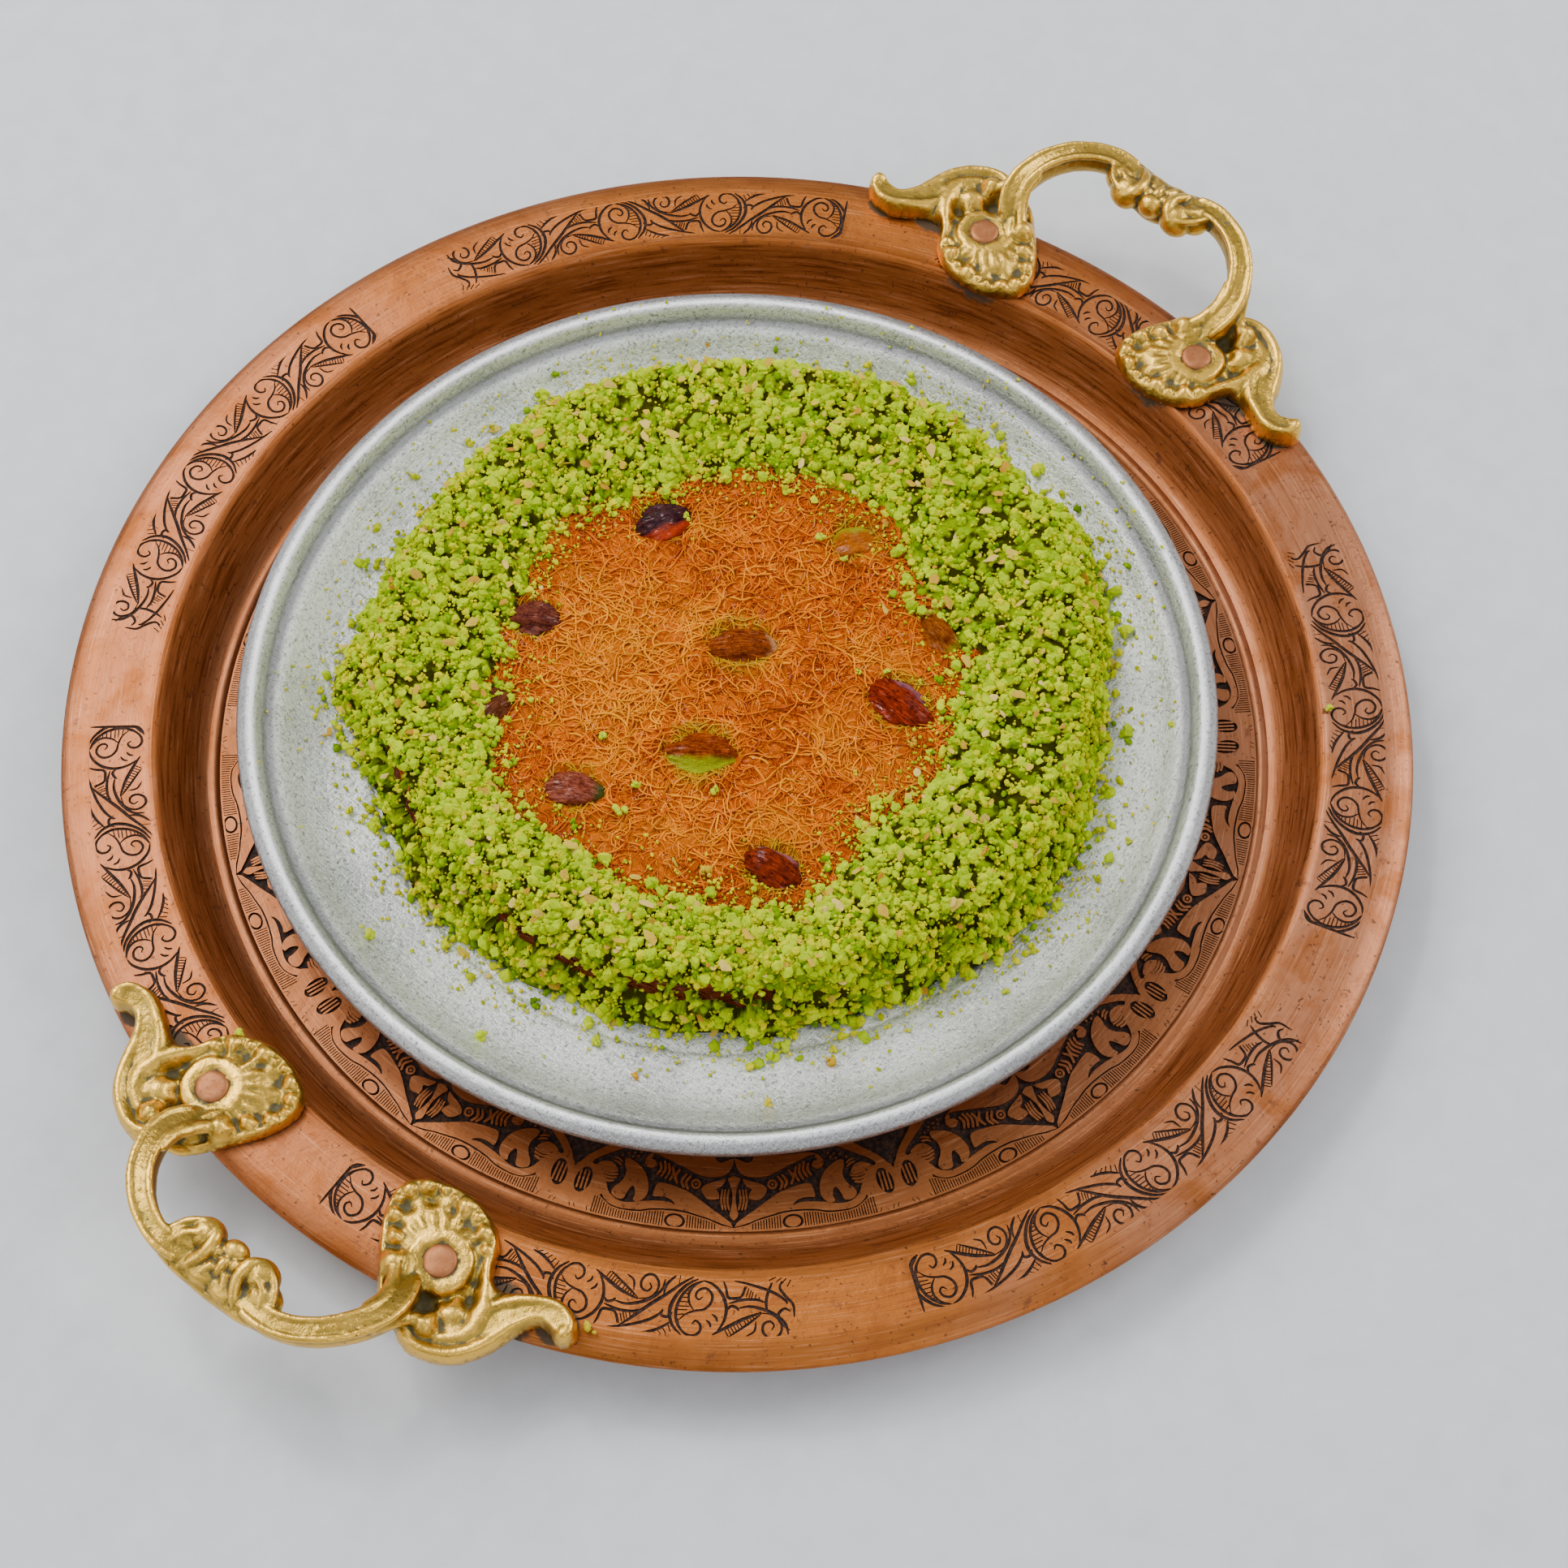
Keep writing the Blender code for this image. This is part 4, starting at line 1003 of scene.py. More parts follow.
def makeHeap(meal):
    c = crumbs
    steps = c["steps"]
    angle = np.linspace(0, 2 * math.pi, steps, endpoint=False)
    a, s = np.meshgrid(angle, np.linspace(0, 1, c["rows"]), indexing="ij")
    points = heapSection(a, s)
    away = np.cross(np.gradient(points, axis=1), np.gradient(points, axis=0))
    away /= np.linalg.norm(away, axis=2, keepdims=True) + 1e-9
    away *= np.sign(away[..., 2:3] + 1e-9)
    relief, shade = np.zeros(a.size), np.zeros(a.size)
    for size, proud in c["lumps"]:
        height, chance = lumpy(points.reshape(-1, 3), size)
        relief += proud * (height - 0.55)
        shade = shade * 0.4 + chance * 0.6
    # how far each point lies down among the lumps; the meal's finish paints shade there, and on the unseen
    # faces
    hollow = np.clip(0.5 - relief / 0.9, 0, 1)
    edges = np.clip(s / 0.05, 0.15, 1) * np.clip((1 - s) / 0.05, 0.15, 1)
    points += away * (relief.reshape(a.shape) * edges - 0.3)[..., None]
    px, py = pastry["centre"]
    foot = plateHeight(points[:, -1, 0], points[:, -1, 1]) + 0.12
    below = []  # the unseen face against plate and pastry
    for radius, height in ((outerEdge(angle) - 0.6, foot), *c["unseen"]):
        x, y = px + radius * np.cos(angle), py + radius * np.sin(angle)
        below.append(np.column_stack([x, y, np.broadcast_to(height, x.shape)]))
    first = points[:, 0].copy()
    first[:, 2] = np.minimum(first[:, 2], 18.6) - 0.4
    below.append(first)
    grid = np.concatenate([points, np.stack(below, 1)], 1)
    total = grid.shape[1]
    step, row = np.meshgrid(np.arange(steps), np.arange(total), indexing="ij")
    ahead = (step + 1) % steps
    quads = np.stack([step * total + row, step * total + (row + 1) % total,
                      ahead * total + (row + 1) % total, ahead * total + row], 2).reshape(-1, 4)
    unseen = np.zeros((steps, total - c["rows"]))
    values = {"shade": np.hstack([shade.reshape(a.shape), unseen]).ravel(),
              "hollow": np.hstack([hollow.reshape(a.shape), unseen + 1]).ravel()}
    piece = meshPiece("ground_pistachio_heap", grid.reshape(-1, 3) * mm, quads[:, ::-1], meal, values)
    pick(piece)
    bpy.ops.object.mode_set(mode="EDIT")
    bpy.ops.mesh.select_all(action="SELECT")
    bpy.ops.mesh.normals_make_consistent(inside=False)
    bpy.ops.object.mode_set(mode="OBJECT")
    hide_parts("pistachio_crumbs")
    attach(piece, "root")
    print("heap", len(piece.data.polygons), "faces")


grains = {
    "shapes": 40, "rimTop": 14.5, "onPastry": 70, "onPlate": 100,
    # name, count, grains in a clump, clump's reach, half sizes, share past the edges, material
    "clumped": (
        ("pistachio_lumps_deep", 9800, 4, (0.3, 1.0), (0.38, 1.05), 0.03, "deep"),
        ("pistachio_lumps_bright", 9800, 5, (0.4, 1.9), (0.36, 1.55), 0.05, "bright"),
        ("pistachio_lumps_light", 9800, 4, (0.3, 1.3), (0.32, 1.05), 0.07, "fine"),
    ),
    # name, count, share past the edges, how far sunk, how far past, half sizes, power, material
    "single": (
        ("pistachio_dust", 9800, 0.22, -0.15, 4.5, (0.24, 0.54), 1.5, "fine"),
        ("pistachio_flakes", 460, 0.06, -0.75, 4.0, (0.6, 1.5), 1.8, "flake"),
    ),
}


def grainShapes(count, draw, flat):
    # a few knobbly lumps of 20 faces, or thin flakes, of about unit radius
    bpy.ops.object.select_all(action="DESELECT")
    bpy.ops.mesh.primitive_ico_sphere_add(subdivisions=1, radius=1.0)
    ball = bpy.context.object
    points = readPoints(ball.data)
    faces = np.array([list(face.vertices) for face in ball.data.polygons])
    bpy.data.objects.remove(ball)
    low, high = ((0.9, 0.55, 0.10), (1.6, 1.0, 0.22)) if flat else ((0.8, 0.7, 0.6), (1.3, 1.1, 1.0))
    shapes = []
    for _ in range(count):
        shapes.append(points * draw.uniform(low, high) * draw.uniform(0.62, 1.28, (len(points), 1)))
    return np.array(shapes), faces


def scatter(name, places, sizes, tone, material, draw, flat=False, smooth=False):
    # one joined mesh with a turned lump at each place
    shapes, faces = grainShapes(grains["shapes"], draw, flat)
    count = len(places)
    chosen = shapes[draw.integers(0, len(shapes), count)]
    turn = draw.uniform(0, 2 * math.pi, (count, 1))
    tilt = draw.normal(0, 0.5 if flat else 2.0, (count, 1))
    lean = draw.uniform(0, 2 * math.pi, (count, 1))
    x, y, z = chosen[..., 0], chosen[..., 1], chosen[..., 2]
    x, y = turned(x, y, turn)
    y, z = turned(y, z, tilt)
    x, y = turned(x, y, lean)
    points = np.stack([x, y, z], 2) * np.asarray(sizes)[:, None, None] + np.asarray(places)[:, None, :]
    corners = chosen.shape[1]
    allFaces = (np.arange(count)[:, None, None] * corners + faces).reshape(-1, 3)
    shade = {"shade": np.repeat(tone, corners)}
    piece = meshPiece(name, points.reshape(-1, 3) * mm, allFaces, material, shade, smooth)
    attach(piece, "root")
    print(name, count, "grains")


def heapPlaces(draw, count, spread, sink, reach=2.2):
    # places on the heap, thinning out over both edges
    angle = draw.uniform(0, 2 * math.pi, count)
    share, shoulder = draw.random(count), crumbs["shoulderShare"]
    share = np.where(draw.random(count) < 0.5, shoulder * share, shoulder + (1 - shoulder) * share)
    moved = bareShare(angle, slopeShare(share)) > draw.uniform(0.15, 1.6, count)
    share = np.where(moved, draw.uniform(0.1, shoulder, count), share)
    places = heapSection(angle, share)
    edge = draw.random(count) < spread
    outward = np.abs(draw.normal(0, reach, count))
    hx, hy = crumbs["hole"]
    px, py = pastry["centre"]
    inner = edge & (draw.random(count) < 0.5)
    outer = edge & ~inner
    inward = holeEdge(angle) - outward
    x = np.where(inner, hx + inward * np.cos(angle), places[:, 0])
    y = np.where(inner, hy + inward * np.sin(angle), places[:, 1])
    outward = outerEdge(angle) + outward * 1.2
    x = np.where(outer, px + outward * np.cos(angle), x)
    y = np.where(outer, py + outward * np.sin(angle), y)
    z = np.where(inner, pastryTop(x, y) + 0.3, np.where(outer, plateHeight(x, y) + 0.4, places[:, 2] - sink))
    return np.column_stack([x, y, z])


def clumped(draw, count, perClump, sizes, spread):
    # grains that cling together in lumps
    clumps = count // perClump
    centres = heapPlaces(draw, clumps, spread, 0.45)
    reach = sizes[0] + (sizes[1] - sizes[0]) * draw.random(clumps) ** 1.6
    owner = np.repeat(np.arange(clumps), perClump)
    away = draw.normal(0, 1, (len(owner), 3))
    away[:, 2] = np.abs(away[:, 2]) * 0.8
    away /= np.linalg.norm(away, axis=1)[:, None]
    places = centres[owner] + away * (reach[owner] * draw.uniform(0.5, 1.05, len(owner)))[:, None]
    tone = draw.random(clumps)[owner] * 0.65 + draw.random(len(owner)) * 0.35
    return places, tone


def restingHeight(x, y):
    # the face that a loose crumb lies on: pastry, plate or the tray's rim
    if math.dist((x, y), pastry["centre"]) < grains["onPastry"]:
        return float(pastryTop(x, y)) + 0.2
    if math.dist((x, y), plate["centre"]) < grains["onPlate"]:
        return float(plateHeight(x, y))
    return grains["rimTop"]


def looseLumps(draw):
    # grains of the crumbs that lie apart
    places, sizes, tones = [], [], []
    for x, y, radius, tan in looseCrumbs:
        ground = restingHeight(x, y)
        for _ in range(8 if radius > 0.85 else 4):
            away = draw.normal(0, 1, 3)
            away[2] = abs(away[2]) * 0.7
            away *= radius * draw.uniform(0.35, 0.75) / np.linalg.norm(away)
            places.append((x + away[0], y + away[1], ground + radius * 0.35 + away[2]))
            sizes.append(radius * draw.uniform(0.38, 0.62))
            tones.append(np.clip(tan + draw.uniform(-0.1, 0.1), 0, 1))
    return places, sizes, tones


def makeGrains(looks):
    draw = np.random.default_rng(77)
    for name, count, perClump, reach, (small, large), spread, kind in grains["clumped"]:
        places, tone = clumped(draw, count, perClump, reach, spread)
        sizes = small + (large - small) * draw.random(len(places)) ** 2.2
        scatter(name, places, sizes, tone, looks[kind], draw, smooth=kind == "deep")
    for name, count, spread, sink, reach, (small, large), power, kind in grains["single"]:
        places = heapPlaces(draw, count, spread, sink, reach)
        sizes = small + (large - small) * draw.random(count) ** power
        scatter(name, places, sizes, draw.random(count), looks[kind], draw, flat=kind == "flake")
    places, sizes, tones = looseLumps(draw)
    scatter("pistachio_loose", places, sizes, tones, looks["loose"], draw, smooth=True)


# rivets

rivet = {
    "top": 18.4, "shank": 2.6, "under": 12.0, "bottom": 10.2, "steps": 40, "dent": 0.10, "dentScale": 420,
}


def makeRivets(copper):
    r = rivet
    top, under, bottom = r["top"], r["under"], r["bottom"]
    profile = [(0.0, top), (1.2, top), (2.3, top - 0.04), (2.95, top - 0.16), (3.3, top - 0.5),
               (3.38, top - 1.0), (r["shank"], top - 1.4), (r["shank"], under - 0.2), (4.4, under - 0.35),
               (4.75, under - 0.8), (4.4, bottom + 0.45), (3.0, bottom + 0.08), (0.0, bottom)]
    for name in ("far_1", "far_2", "near_1", "near_2"):
        low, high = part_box("rivet_" + name)
        centre = [(low[i] + high[i]) / 2 / mm for i in (0, 1)]
        piece = spun("copper_rivet_" + name, profile, r["steps"], copper, 0.0, centre)
        points = readPoints(piece.data)
        head = points[:, 2] > (top - 0.9) * mm
        points[:, 2] += r["dent"] * mm * uneven(points, r["dentScale"]) * head
        writePoints(piece.data, points)
        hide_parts("rivet_" + name)
        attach(piece, "root")
    print("rivets", len(piece.data.polygons), "faces each")


# cast brass handles: modelled once for the side at +X, and turned half round for the other

handle = {
    "base": 14.8, "highest": 14.3, "furthest": 161.55, "voxel": 0.31, "smooth": 2, "keep": 0.5,
    "footBox": ((114.6, 147), (11.4, 59)), "grid": 0.3, "plate": 1.9, "round": 1.2, "blend": 4.5,
    "rivet": (129.2, 28.6), "boss": 5.9, "bossHeight": 3.4, "seat": 2.9, "seatRadius": 3.5,
    "shell": (126.3, 24.5), "shellRadius": 14.5, "shellHeight": 2.7, "shellTo": 37,
    "ribs": 22, "ribHeight": 0.22, "ribRadius": 8.3, "ribWidth": 1.7, "ribTo": (131, 33),
    "bandPoints": (1, 9), "bandOffset": 0.72, "tickPoints": (3, 6), "tick": (0.62, 0.62, 0.55),
    "cast": 0.11, "castScales": (260, 800),
}

# one foot seen from above: its outline
footOutline = (
    (140.8, 22.6), (138.0, 20.4), (135.0, 18.0), (131.2, 15.2), (127.6, 13.2), (124.2, 12.3), (121.0, 12.7),
    (118.6, 14.8), (116.9, 17.6), (115.9, 20.6), (115.5, 24.0), (115.7, 27.6), (116.8, 31.0), (118.8, 34.2),
    (121.4, 36.2), (124.2, 37.4), (126.2, 39.6), (125.8, 42.2), (123.8, 45.4), (121.9, 48.6), (121.2, 51.6),
    (121.7, 54.6), (123.2, 56.8), (125.3, 58.0), (127.5, 57.3), (128.3, 55.4), (127.3, 53.0), (127.5, 50.9),
    (129.6, 49.2), (132.6, 48.2), (136.2, 47.0), (139.6, 45.2), (142.6, 42.6), (144.7, 39.2), (145.8, 35.6),
    (145.6, 32.0), (144.2, 29.4), (143.2, 25.6),
)

# raised lines of a foot, as x, y, height and half width along each
footRidges = (
    ((140.2, 33.9, 5.0, 1.7), (140.8, 31.9, 5.0, 1.3), (142.8, 31.6, 4.7, 1.2), (144.1, 33.8, 4.6, 1.2),
     (144.1, 36.8, 4.5, 1.3), (142.7, 40.0, 4.4, 1.4), (140.2, 42.8, 4.3, 1.4), (137.0, 44.8, 4.2, 1.4),
     (133.6, 46.0, 4.1, 1.4), (130.4, 47.2, 4.1, 1.2), (127.6, 49.2, 4.3, 1.0), (126.3, 51.6, 4.5, 0.9),
     (126.6, 54.0, 4.8, 1.0)),
    ((121.6, 34.4, 2.8, 1.2), (124.6, 36.6, 3.2, 1.4), (128.0, 39.0, 3.8, 1.6), (131.6, 40.9, 4.2, 1.9),
     (135.4, 41.6, 4.1, 1.9), (138.6, 40.2, 3.8, 1.6), (140.6, 37.4, 3.6, 1.3)),
    ((131.0, 41.6, 3.9, 1.4), (128.0, 43.4, 4.2, 1.3), (125.4, 46.2, 4.5, 1.2), (123.4, 49.4, 4.7, 1.2),
     (122.7, 52.6, 4.9, 1.2), (123.5, 55.4, 5.2, 1.4), (125.3, 56.5, 5.3, 1.6)),
    ((132.4, 44.6, 3.8, 3.2), (128.6, 46.4, 3.9, 2.9), (125.8, 49.0, 4.2, 2.7), (124.6, 52.0, 4.5, 2.6),
     (124.9, 54.8, 4.8, 2.4)),
    ((134.8, 22.0, 4.4, 1.5), (132.4, 23.4, 3.9, 1.2), (134.6, 25.0, 4.3, 1.3), (138.0, 26.2, 5.0, 1.6)),
)

# rounded lumps of a foot: x, y, height, reach
footDomes = (
    (126.0, 25.4, 3.5, 8.4), (135.8, 36.6, 3.9, 2.9), (137.8, 38.8, 3.4, 3.6), (134.0, 43.2, 3.3, 4.0),
    (126.3, 56.2, 5.6, 1.9), (140.2, 34.2, 5.8, 1.9), (134.5, 21.9, 5.2, 2.0), (130.3, 18.5, 3.9, 1.7),
    (127.2, 15.5, 3.6, 1.5), (124.4, 14.3, 3.3, 1.1), (121.8, 14.9, 3.8, 1.5), (119.2, 17.3, 3.9, 1.7),
    (117.9, 20.2, 3.4, 1.1), (117.9, 22.7, 3.3, 1.0), (118.0, 25.4, 3.9, 1.8), (118.2, 28.6, 3.4, 1.2),
    (119.9, 31.6, 3.9, 1.8), (122.2, 34.0, 3.5, 1.3),
)

# pits of a foot: x, y, depth, reach
footPits = (
    (128.4, 17.9, 0.8, 1.1), (124.7, 16.9, 1.0, 1.3), (120.9, 19.6, 1.0, 1.5), (120.3, 23.9, 0.9, 1.1),
    (120.7, 28.2, 1.0, 1.3), (123.0, 31.8, 0.5, 1.0), (132.3, 20.5, 0.8, 1.0), (136.6, 31.4, 2.0, 1.9),
    (131.4, 37.3, 1.7, 1.6), (134.0, 34.2, 1.0, 1.3), (128.6, 36.2, 0.9, 1.2), (138.4, 32.2, 1.2, 1.3),
    (138.4, 36.4, 0.5, 1.2),
)

# bars of one side: how tall, how deep the flute, and (x, y, height of the middle, radius) along each
sideBars = (
    (1.4, 0.6, ((132.8, 25.2, 0.4, 1.5), (135.4, 26.6, 1.9, 2.3), (138.6, 28.0, 4.0, 2.7),
                (143.2, 28.4, 6.3, 2.7), (149.0, 26.1, 8.4, 2.6), (153.8, 22.0, 9.6, 2.5),
                (157.0, 17.0, 9.9, 2.4), (158.2, 12.4, 9.9, 2.4), (158.0, 8.4, 9.4, 2.4),
                (157.2, 4.0, 8.8, 2.4))),  # bail
    (1.0, 0.0, ((134.6, 22.2, 3.4, 1.4), (137.4, 24.4, 5.0, 1.3), (141.2, 25.8, 7.6, 1.2),
                (145.4, 25.2, 9.8, 0.9))),  # stroke beside its root
    (1.0, 0.0, ((140.2, 33.6, 3.8, 1.5), (141.6, 31.6, 5.2, 1.2), (144.4, 30.4, 7.4, 1.0),
                (148.0, 28.9, 9.6, 0.9))),  # stroke at the root's other side
    (1.0, 0.0, ((155.9, 12.4, 12.1, 0.8), (153.0, 10.7, 12.5, 0.8), (151.2, 8.4, 12.7, 0.8),
                (150.5, 6.0, 12.2, 0.8))),  # outer wrap
    (1.0, 0.0, ((157.4, 10.8, 12.2, 0.7), (154.8, 9.3, 13.0, 0.7), (153.3, 7.0, 13.4, 0.7))),  # inner wrap
    (1.0, 0.0, ((150.6, 6.6, 11.6, 1.4), (152.2, 4.4, 12.8, 1.4), (155.2, 4.0, 12.8, 1.3),
                (158.2, 5.4, 11.8, 1.1), (160.2, 7.6, 10.0, 0.9))),  # roll
    (1.5, 0.0, ((159.8, 11.4, 10.4, 1.1), (160.2, 7.6, 9.2, 1.3), (160.1, 3.8, 8.0, 1.4),
                (160.2, 0.0, 7.6, 1.4))),  # keel
    (1.0, 0.0, ((156.4, 1.6, 12.0, 0.9), (158.6, 2.9, 11.2, 0.9), (160.2, 3.6, 9.8, 0.8))),  # tip
)

# balls of one side: centre (x, y, height) and half sizes
sideBalls = (
    ((152.6, 6.6, 10.2), (3.5, 3.9, 3.8)), ((155.2, 9.6, 10.0), (3.2, 3.9, 3.3)),
    ((153.9, 2.1, 11.9), (1.6, 1.3, 1.7)), ((158.0, 3.2, 8.8), (3.0, 5.6, 3.2)),
)

# balls in the middle of the bail
middleBalls = (
    ((155.0, 0.0, 8.8), (4.4, 6.6, 3.8)), ((152.0, 0.0, 11.0), (2.4, 2.9, 2.9)),
    ((155.2, 0.0, 12.2), (2.2, 1.2, 1.5)),
)


def nearestOn(path, x, y):
    # how far each place is from a path, and the other values of the path there
    gap = (x[:, None] - path[:, 0]) ** 2 + (y[:, None] - path[:, 1]) ** 2
    nearest = gap.argmin(1)
    return np.sqrt(gap[np.arange(len(x)), nearest]), path[nearest, 2:]


def footHeights(x, y):
    # the foot's upper face over the base plane, and which places it covers
    h = handle
    edge = smoothPath(footOutline + footOutline[:1], 14)
    inside = insideOutline(np.column_stack([x, y]), edge[:-1])
    away = nearestOn(edge, x, y)[0]
    forms = [np.full(len(x), h["plate"])]
    for points in footRidges:
        gap, values = nearestOn(smoothPath(points, 14), x, y)
        forms.append(values[:, 0] - 0.8 * (gap / values[:, 1]) ** 2)
    for dx, dy, height, reach in footDomes:
        forms.append(height - 1.1 * ((x - dx) ** 2 + (y - dy) ** 2) / reach ** 2)
    fromRivet = np.hypot(x - h["rivet"][0], y - h["rivet"][1])
    forms.append(h["bossHeight"] - 3.0 * np.clip(fromRivet - h["boss"], 0, 9) ** 2)
    onShell = (np.hypot(x - h["shell"][0], y - h["shell"][1]) < h["shellRadius"]) & (y < h["shellTo"])
    forms.append(np.where(onShell, h["shellHeight"] - ((away - 1.0) / 0.8) ** 2, 0.0))
    total = np.log(sum(np.exp(h["blend"] * np.clip(form, -1, 9)) for form in forms)) / h["blend"]
    for px, py, depth, reach in footPits:
        total = total - depth * np.exp(-((x - px) ** 2 + (y - py) ** 2) / reach ** 2)
    turn = np.arctan2(y - h["rivet"][1], x - h["rivet"][0])
    ribbed = np.exp(-((fromRivet - h["ribRadius"]) / h["ribWidth"]) ** 2)
    ribbed *= (x < h["ribTo"][0]) & (y < h["ribTo"][1])
    total = np.maximum(total + h["ribHeight"] * ribbed * np.cos(h["ribs"] * turn), 0.5)
    curve = 1 - np.clip(away / h["round"], 0, 1)
    return total * np.sqrt(1 - curve ** 2), inside


def footSolid():
    # the foot as a closed body on a fine grid
    h = handle
    x, y = np.meshgrid(*[np.arange(*ends, h["grid"]) for ends in h["footBox"]], indexing="ij")
    height, inside = footHeights(x.ravel(), y.ravel())
    inside = inside.reshape(x.shape)
    cells = inside[:-1, :-1] & inside[1:, :-1] & inside[1:, 1:] & inside[:-1, 1:]
    count = x.size
    index = np.arange(count).reshape(x.shape)
    a, b, c, d = index[:-1, :-1], index[1:, :-1], index[1:, 1:], index[:-1, 1:]
    upper = np.vstack([np.stack([corner[cells] for corner in three], 1) for three in ((a, b, c), (a, c, d))])
    faces = [upper, upper[:, ::-1] + count]
    padded = np.pad(cells, 1)
    sides = ((a, b, padded[1:-1, :-2]), (b, c, padded[2:, 1:-1]),
             (c, d, padded[1:-1, 2:]), (d, a, padded[:-2, 1:-1]))
    for start, end, neighbour in sides:
        wall = cells & ~neighbour
        p, q = start[wall], end[wall]
        faces += [np.stack([q, p, p + count], 1), np.stack([q, p + count, q + count], 1)]
    heights = np.append(height, np.full(count, -1.0))
    points = np.column_stack([np.tile(x.ravel(), 2), np.tile(y.ravel(), 2), heights])
    faces = np.vstack(faces)
    used, faces = np.unique(faces, return_inverse=True)
    return points[used], faces.reshape(-1, 3)


def cellCorners(rows, steps):
    # of each cell of a closed net: this corner and the next one round
    row, step = np.meshgrid(np.arange(rows), np.arange(steps), indexing="ij")
    return (row * steps + step).ravel(), (row * steps + (step + 1) % steps).ravel()


def bar(points, tall=1.0, flute=0.0, corners=18, perSpan=6):
    # a cast stroke: its section stands upright, its height tall times its width
    path = smoothPath(points, perSpan)
    along = np.gradient(path[:, :2], axis=0)
    along /= np.linalg.norm(along, axis=1)[:, None] + 1e-9
    side = np.stack([-along[:, 1], along[:, 0]], 1)
    angle = np.linspace(0, 2 * math.pi, corners, endpoint=False)
    across = np.sign(np.cos(angle)) * np.abs(np.cos(angle)) ** (1.0 if tall < 1.3 else 0.75)
    radius = path[:, 3][:, None]
    height = radius * np.sin(angle) * tall - flute * np.exp(-(across / 0.42) ** 2) * (np.sin(angle) > 0.3)
    rows = np.concatenate([path[:, None, :2] + side[:, None, :] * (radius * across)[..., None],
                           (path[:, 2][:, None] + height)[..., None]], 2)
    count = len(path)
    a, b = cellCorners(count - 1, corners)
    faces = [np.stack([a, b, b + corners], 1), np.stack([a, b + corners, a + corners], 1)]
    points = np.vstack([rows.reshape(-1, 3), path[0, :3], path[-1, :3]])
    ring = np.arange(corners)
    following = (ring + 1) % corners
    last = (count - 1) * corners
    faces.append(np.stack([following, ring, np.full(corners, count * corners)], 1))
    faces.append(np.stack([last + ring, last + following, np.full(corners, count * corners + 1)], 1))
    return points, np.vstack(faces)


def joinArrays(groups):
    points, faces, start = [], [], 0
    for groupPoints, groupFaces in groups:
        points.append(groupPoints)
        faces.append(groupFaces + start)
        start += len(groupPoints)
    return np.vstack(points), np.vstack(faces)


def lump(centre, halfSizes, rings=12, steps=22):
    # a lobe of the casting: a stretched ball
    u = np.linspace(0, math.pi, rings + 1)
    v = np.linspace(0, 2 * math.pi, steps, endpoint=False)
    uu, vv = np.meshgrid(u, v, indexing="ij")
    ball = np.stack([np.sin(uu) * np.cos(vv), np.sin(uu) * np.sin(vv), np.cos(uu)], 2).reshape(-1, 3)
    a, b = cellCorners(rings, steps)
    faces = np.vstack([np.stack([a, a + steps, b + steps], 1), np.stack([a, b + steps, b], 1)])
    return ball * halfSizes + centre, faces


def sideForms():
    # everything of one side, at y above 0
    h = handle
    forms = [footSolid()]
    forms += [bar(points, tall, flute) for tall, flute, points in sideBars]
    forms += [lump(centre, sizes) for centre, sizes in sideBalls]
    bailPoints = sideBars[0][2]
    band = smoothPath(bailPoints[slice(*h["bandPoints"])], 6)
    along = np.gradient(band[:, :2], axis=0)
    along /= np.linalg.norm(along, axis=1)[:, None]
    for offset in (-h["bandOffset"], h["bandOffset"]):  # the two edges of the fluted band
        edge = band.copy()
        edge[:, 0] -= along[:, 1] * offset * band[:, 3]
        edge[:, 1] += along[:, 0] * offset * band[:, 3]
        edge[:, 2] += 1.06 * band[:, 3]
        edge[:, 3] = 0.30 * band[:, 3]
        forms.append(bar(edge[::3]))
    # shallow ticks in the flute
    for x, y, height, radius in smoothPath(bailPoints[slice(*h["tickPoints"])], 6):
        forms.append(lump((x, y, height + 1.08 * radius), h["tick"], 6, 10))
    return forms


